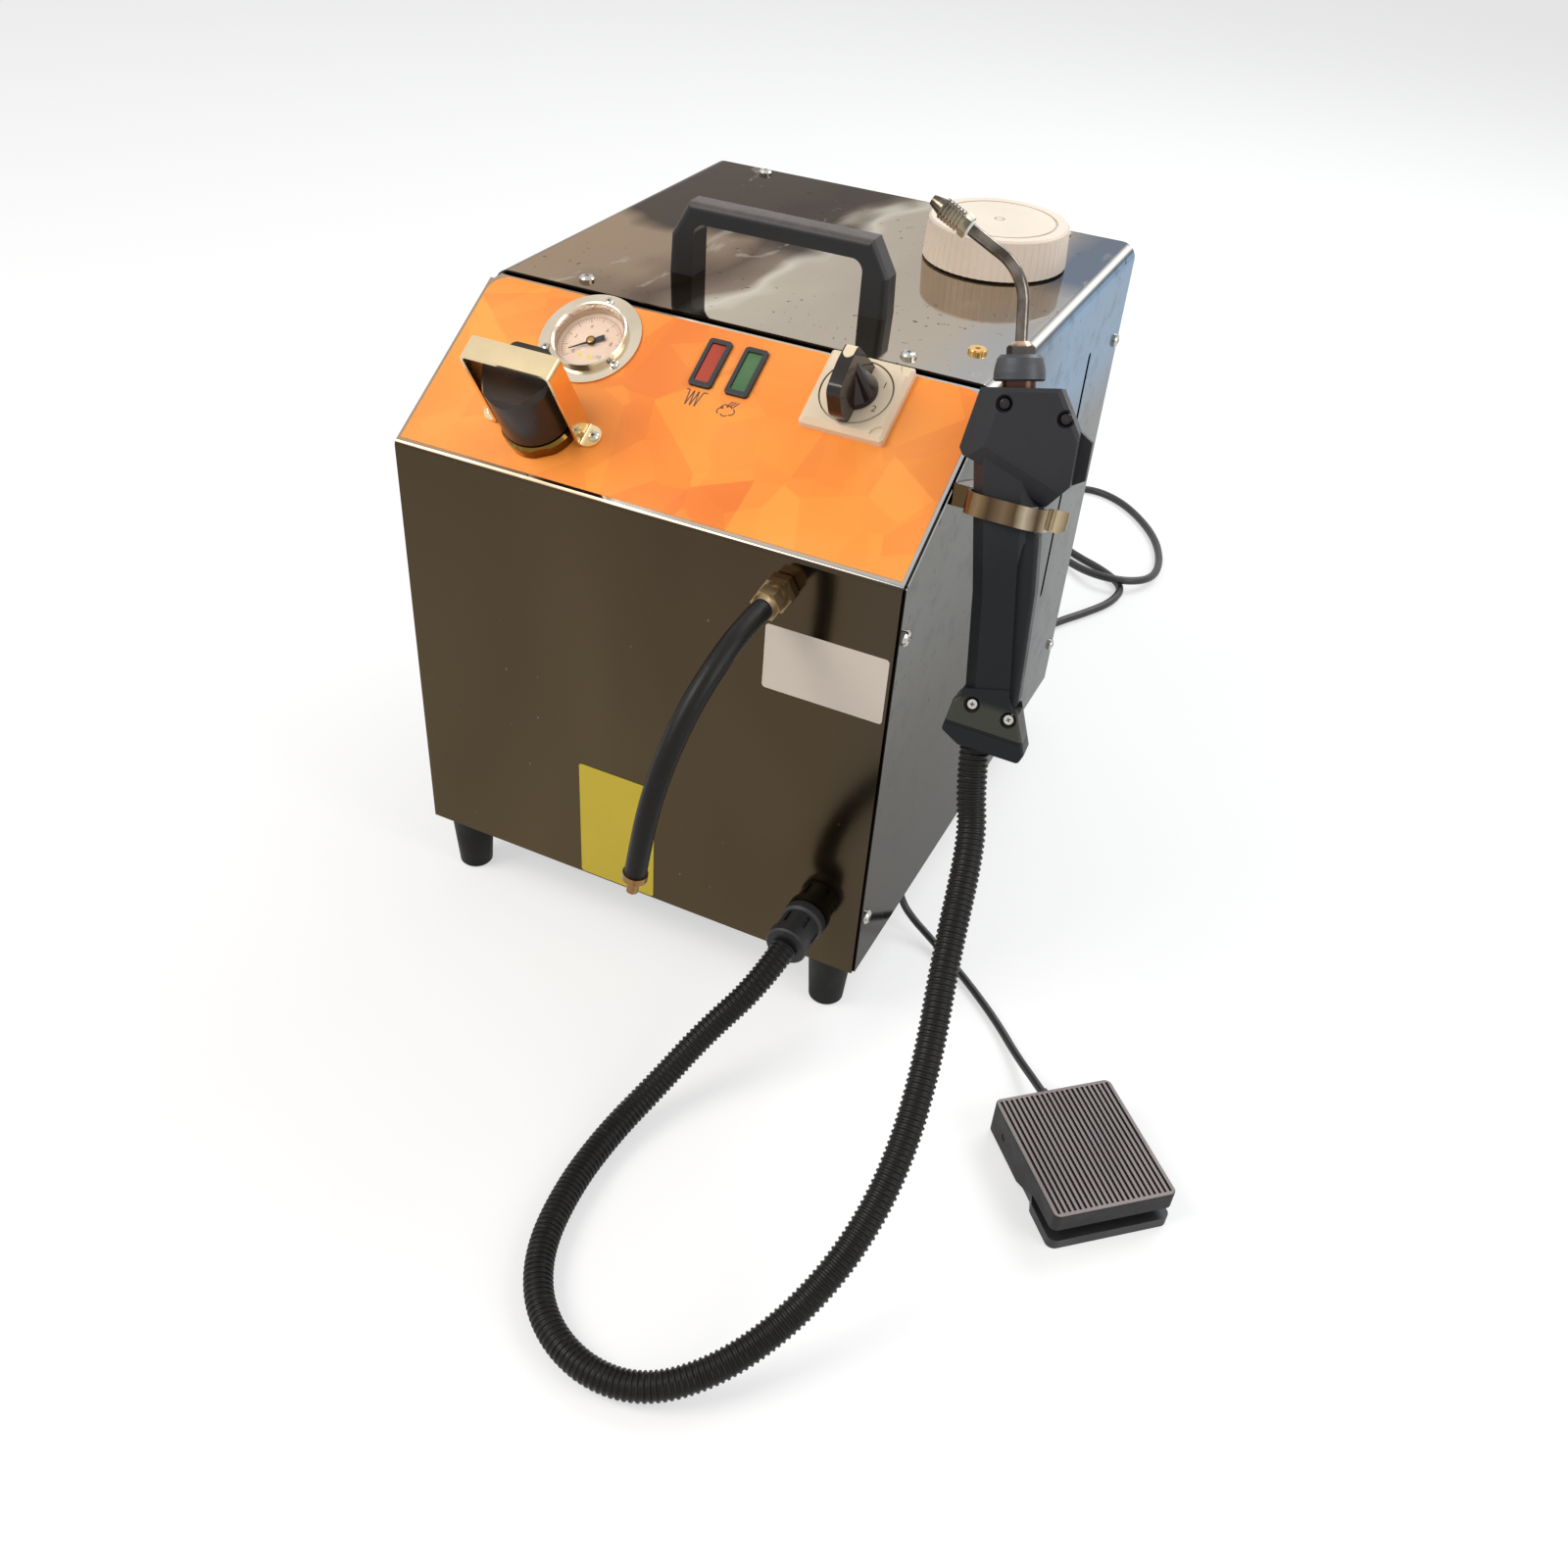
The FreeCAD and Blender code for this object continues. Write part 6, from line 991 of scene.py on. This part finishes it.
def seen_rays(tree):
    """1 for rays that show the background: from the camera, off a gloss or through glass."""
    path = tree.nodes.new("ShaderNodeLightPath")
    seen = path.outputs["Is Camera Ray"]
    for kind in ("Is Glossy Ray", "Is Transmission Ray"):
        both = tree.nodes.new("ShaderNodeMath")
        both.operation = "MAXIMUM"
        tree.links.new(seen, both.inputs[0])
        tree.links.new(path.outputs[kind], both.inputs[1])
        seen = both.outputs[0]
    return seen


def studio_floor():
    """White floor that keeps the object's shadow."""
    s = Shader("studio_floor")
    s.set(Base_Color=(0.93, 0.925, 0.91), Roughness=0.9, Specular_IOR_Level=0.0)
    glow = s.node("ShaderNodeEmission")
    glow.inputs["Color"].default_value = (1, 1, 1, 1)
    mixer = s.node("ShaderNodeMixShader")
    s.link(s.times(seen_rays(s.tree), AMBIENT), mixer.inputs[0])
    s.link(s.bsdf.outputs[0], mixer.inputs[1])
    s.link(glow.outputs[0], mixer.inputs[2])
    out = [n for n in s.tree.nodes if n.type == "OUTPUT_MATERIAL"][0]
    s.link(mixer.outputs[0], out.inputs[0])
    bm = bmesh.new()
    bmesh.ops.create_grid(bm, x_segments=2, y_segments=2, size=6.0)
    mesh = bpy.data.meshes.new("studio_floor")
    bm.to_mesh(mesh)
    bm.free()
    floor = bpy.data.objects.new("studio_floor", mesh)
    bpy.context.scene.collection.objects.link(floor)
    floor.location.z = -0.0002
    mesh.materials.append(s.mat)


def studio_world():
    """White behind the object, and a dimmer, cooler light on it."""
    world = bpy.data.worlds.new("studio")
    bpy.context.scene.world = world
    world.use_nodes = True
    nodes, links = world.node_tree.nodes, world.node_tree.links
    nodes.clear()
    mixer = nodes.new("ShaderNodeMixShader")
    links.new(seen_rays(world.node_tree), mixer.inputs[0])
    for socket, colour, strength in ((1, (0.95, 0.96, 1.0, 1), AMBIENT), (2, (1, 1, 1, 1), 1.0)):
        light = nodes.new("ShaderNodeBackground")
        light.inputs["Color"].default_value = colour
        light.inputs["Strength"].default_value = strength
        links.new(light.outputs[0], mixer.inputs[socket])
    links.new(mixer.outputs[0], nodes.new("ShaderNodeOutputWorld").inputs[0])


def lamp(name, at, target, size, power, colour=(1, 1, 1)):
    data = bpy.data.lights.new(name, "AREA")
    data.shape = "RECTANGLE"
    data.size, data.size_y = size
    data.energy = power
    data.color = colour
    o = bpy.data.objects.new(name, data)
    bpy.context.scene.collection.objects.link(o)
    o.location = at
    o.rotation_euler = (Vector(target) - Vector(at)).to_track_quat("-Z", "Y").to_euler()


CAMERA_AT = (0.3558, -0.8036, 0.6753)
CAMERA_TURN = (23.913, 40.159, 4.016)       # azimuth, elevation and roll in degrees


def camera():
    az, el, roll = (math.radians(a) for a in CAMERA_TURN)
    back = Vector((math.sin(az) * math.cos(el), -math.cos(az) * math.cos(el), math.sin(el)))
    right = Vector((math.cos(az), math.sin(az), 0))
    up = back.cross(right)
    right2 = right * math.cos(roll) + up * math.sin(roll)
    up2 = up * math.cos(roll) - right * math.sin(roll)
    data = bpy.data.cameras.new("camera")
    data.sensor_width = 36.0
    data.lens = 33.82
    data.shift_x = 0.01869
    data.shift_y = 0.04281
    data.clip_start = 0.05
    cam = bpy.data.objects.new("camera", data)
    bpy.context.scene.collection.objects.link(cam)
    m = Matrix.Identity(4)
    m.col[0][:3] = right2
    m.col[1][:3] = up2
    m.col[2][:3] = back
    m.col[3][:3] = CAMERA_AT
    cam.matrix_world = m
    bpy.context.scene.camera = cam


studio_floor()
studio_world()
lamp("key", (-1.2, -1.3, 1.9), (0, -0.1, 0.2), (1.2, 1.2), 34, (1.0, 0.97, 0.92))
lamp("window", (0.6, 1.6, 1.9), (0, 0, 0.3), (1.6, 1.0), 30, (0.94, 0.97, 1.0))
lamp("side", (1.7, -0.3, 1.1), (0.1, -0.1, 0.2), (0.9, 1.2), 12)
camera()
bpy.context.scene.view_settings.view_transform = "Standard"
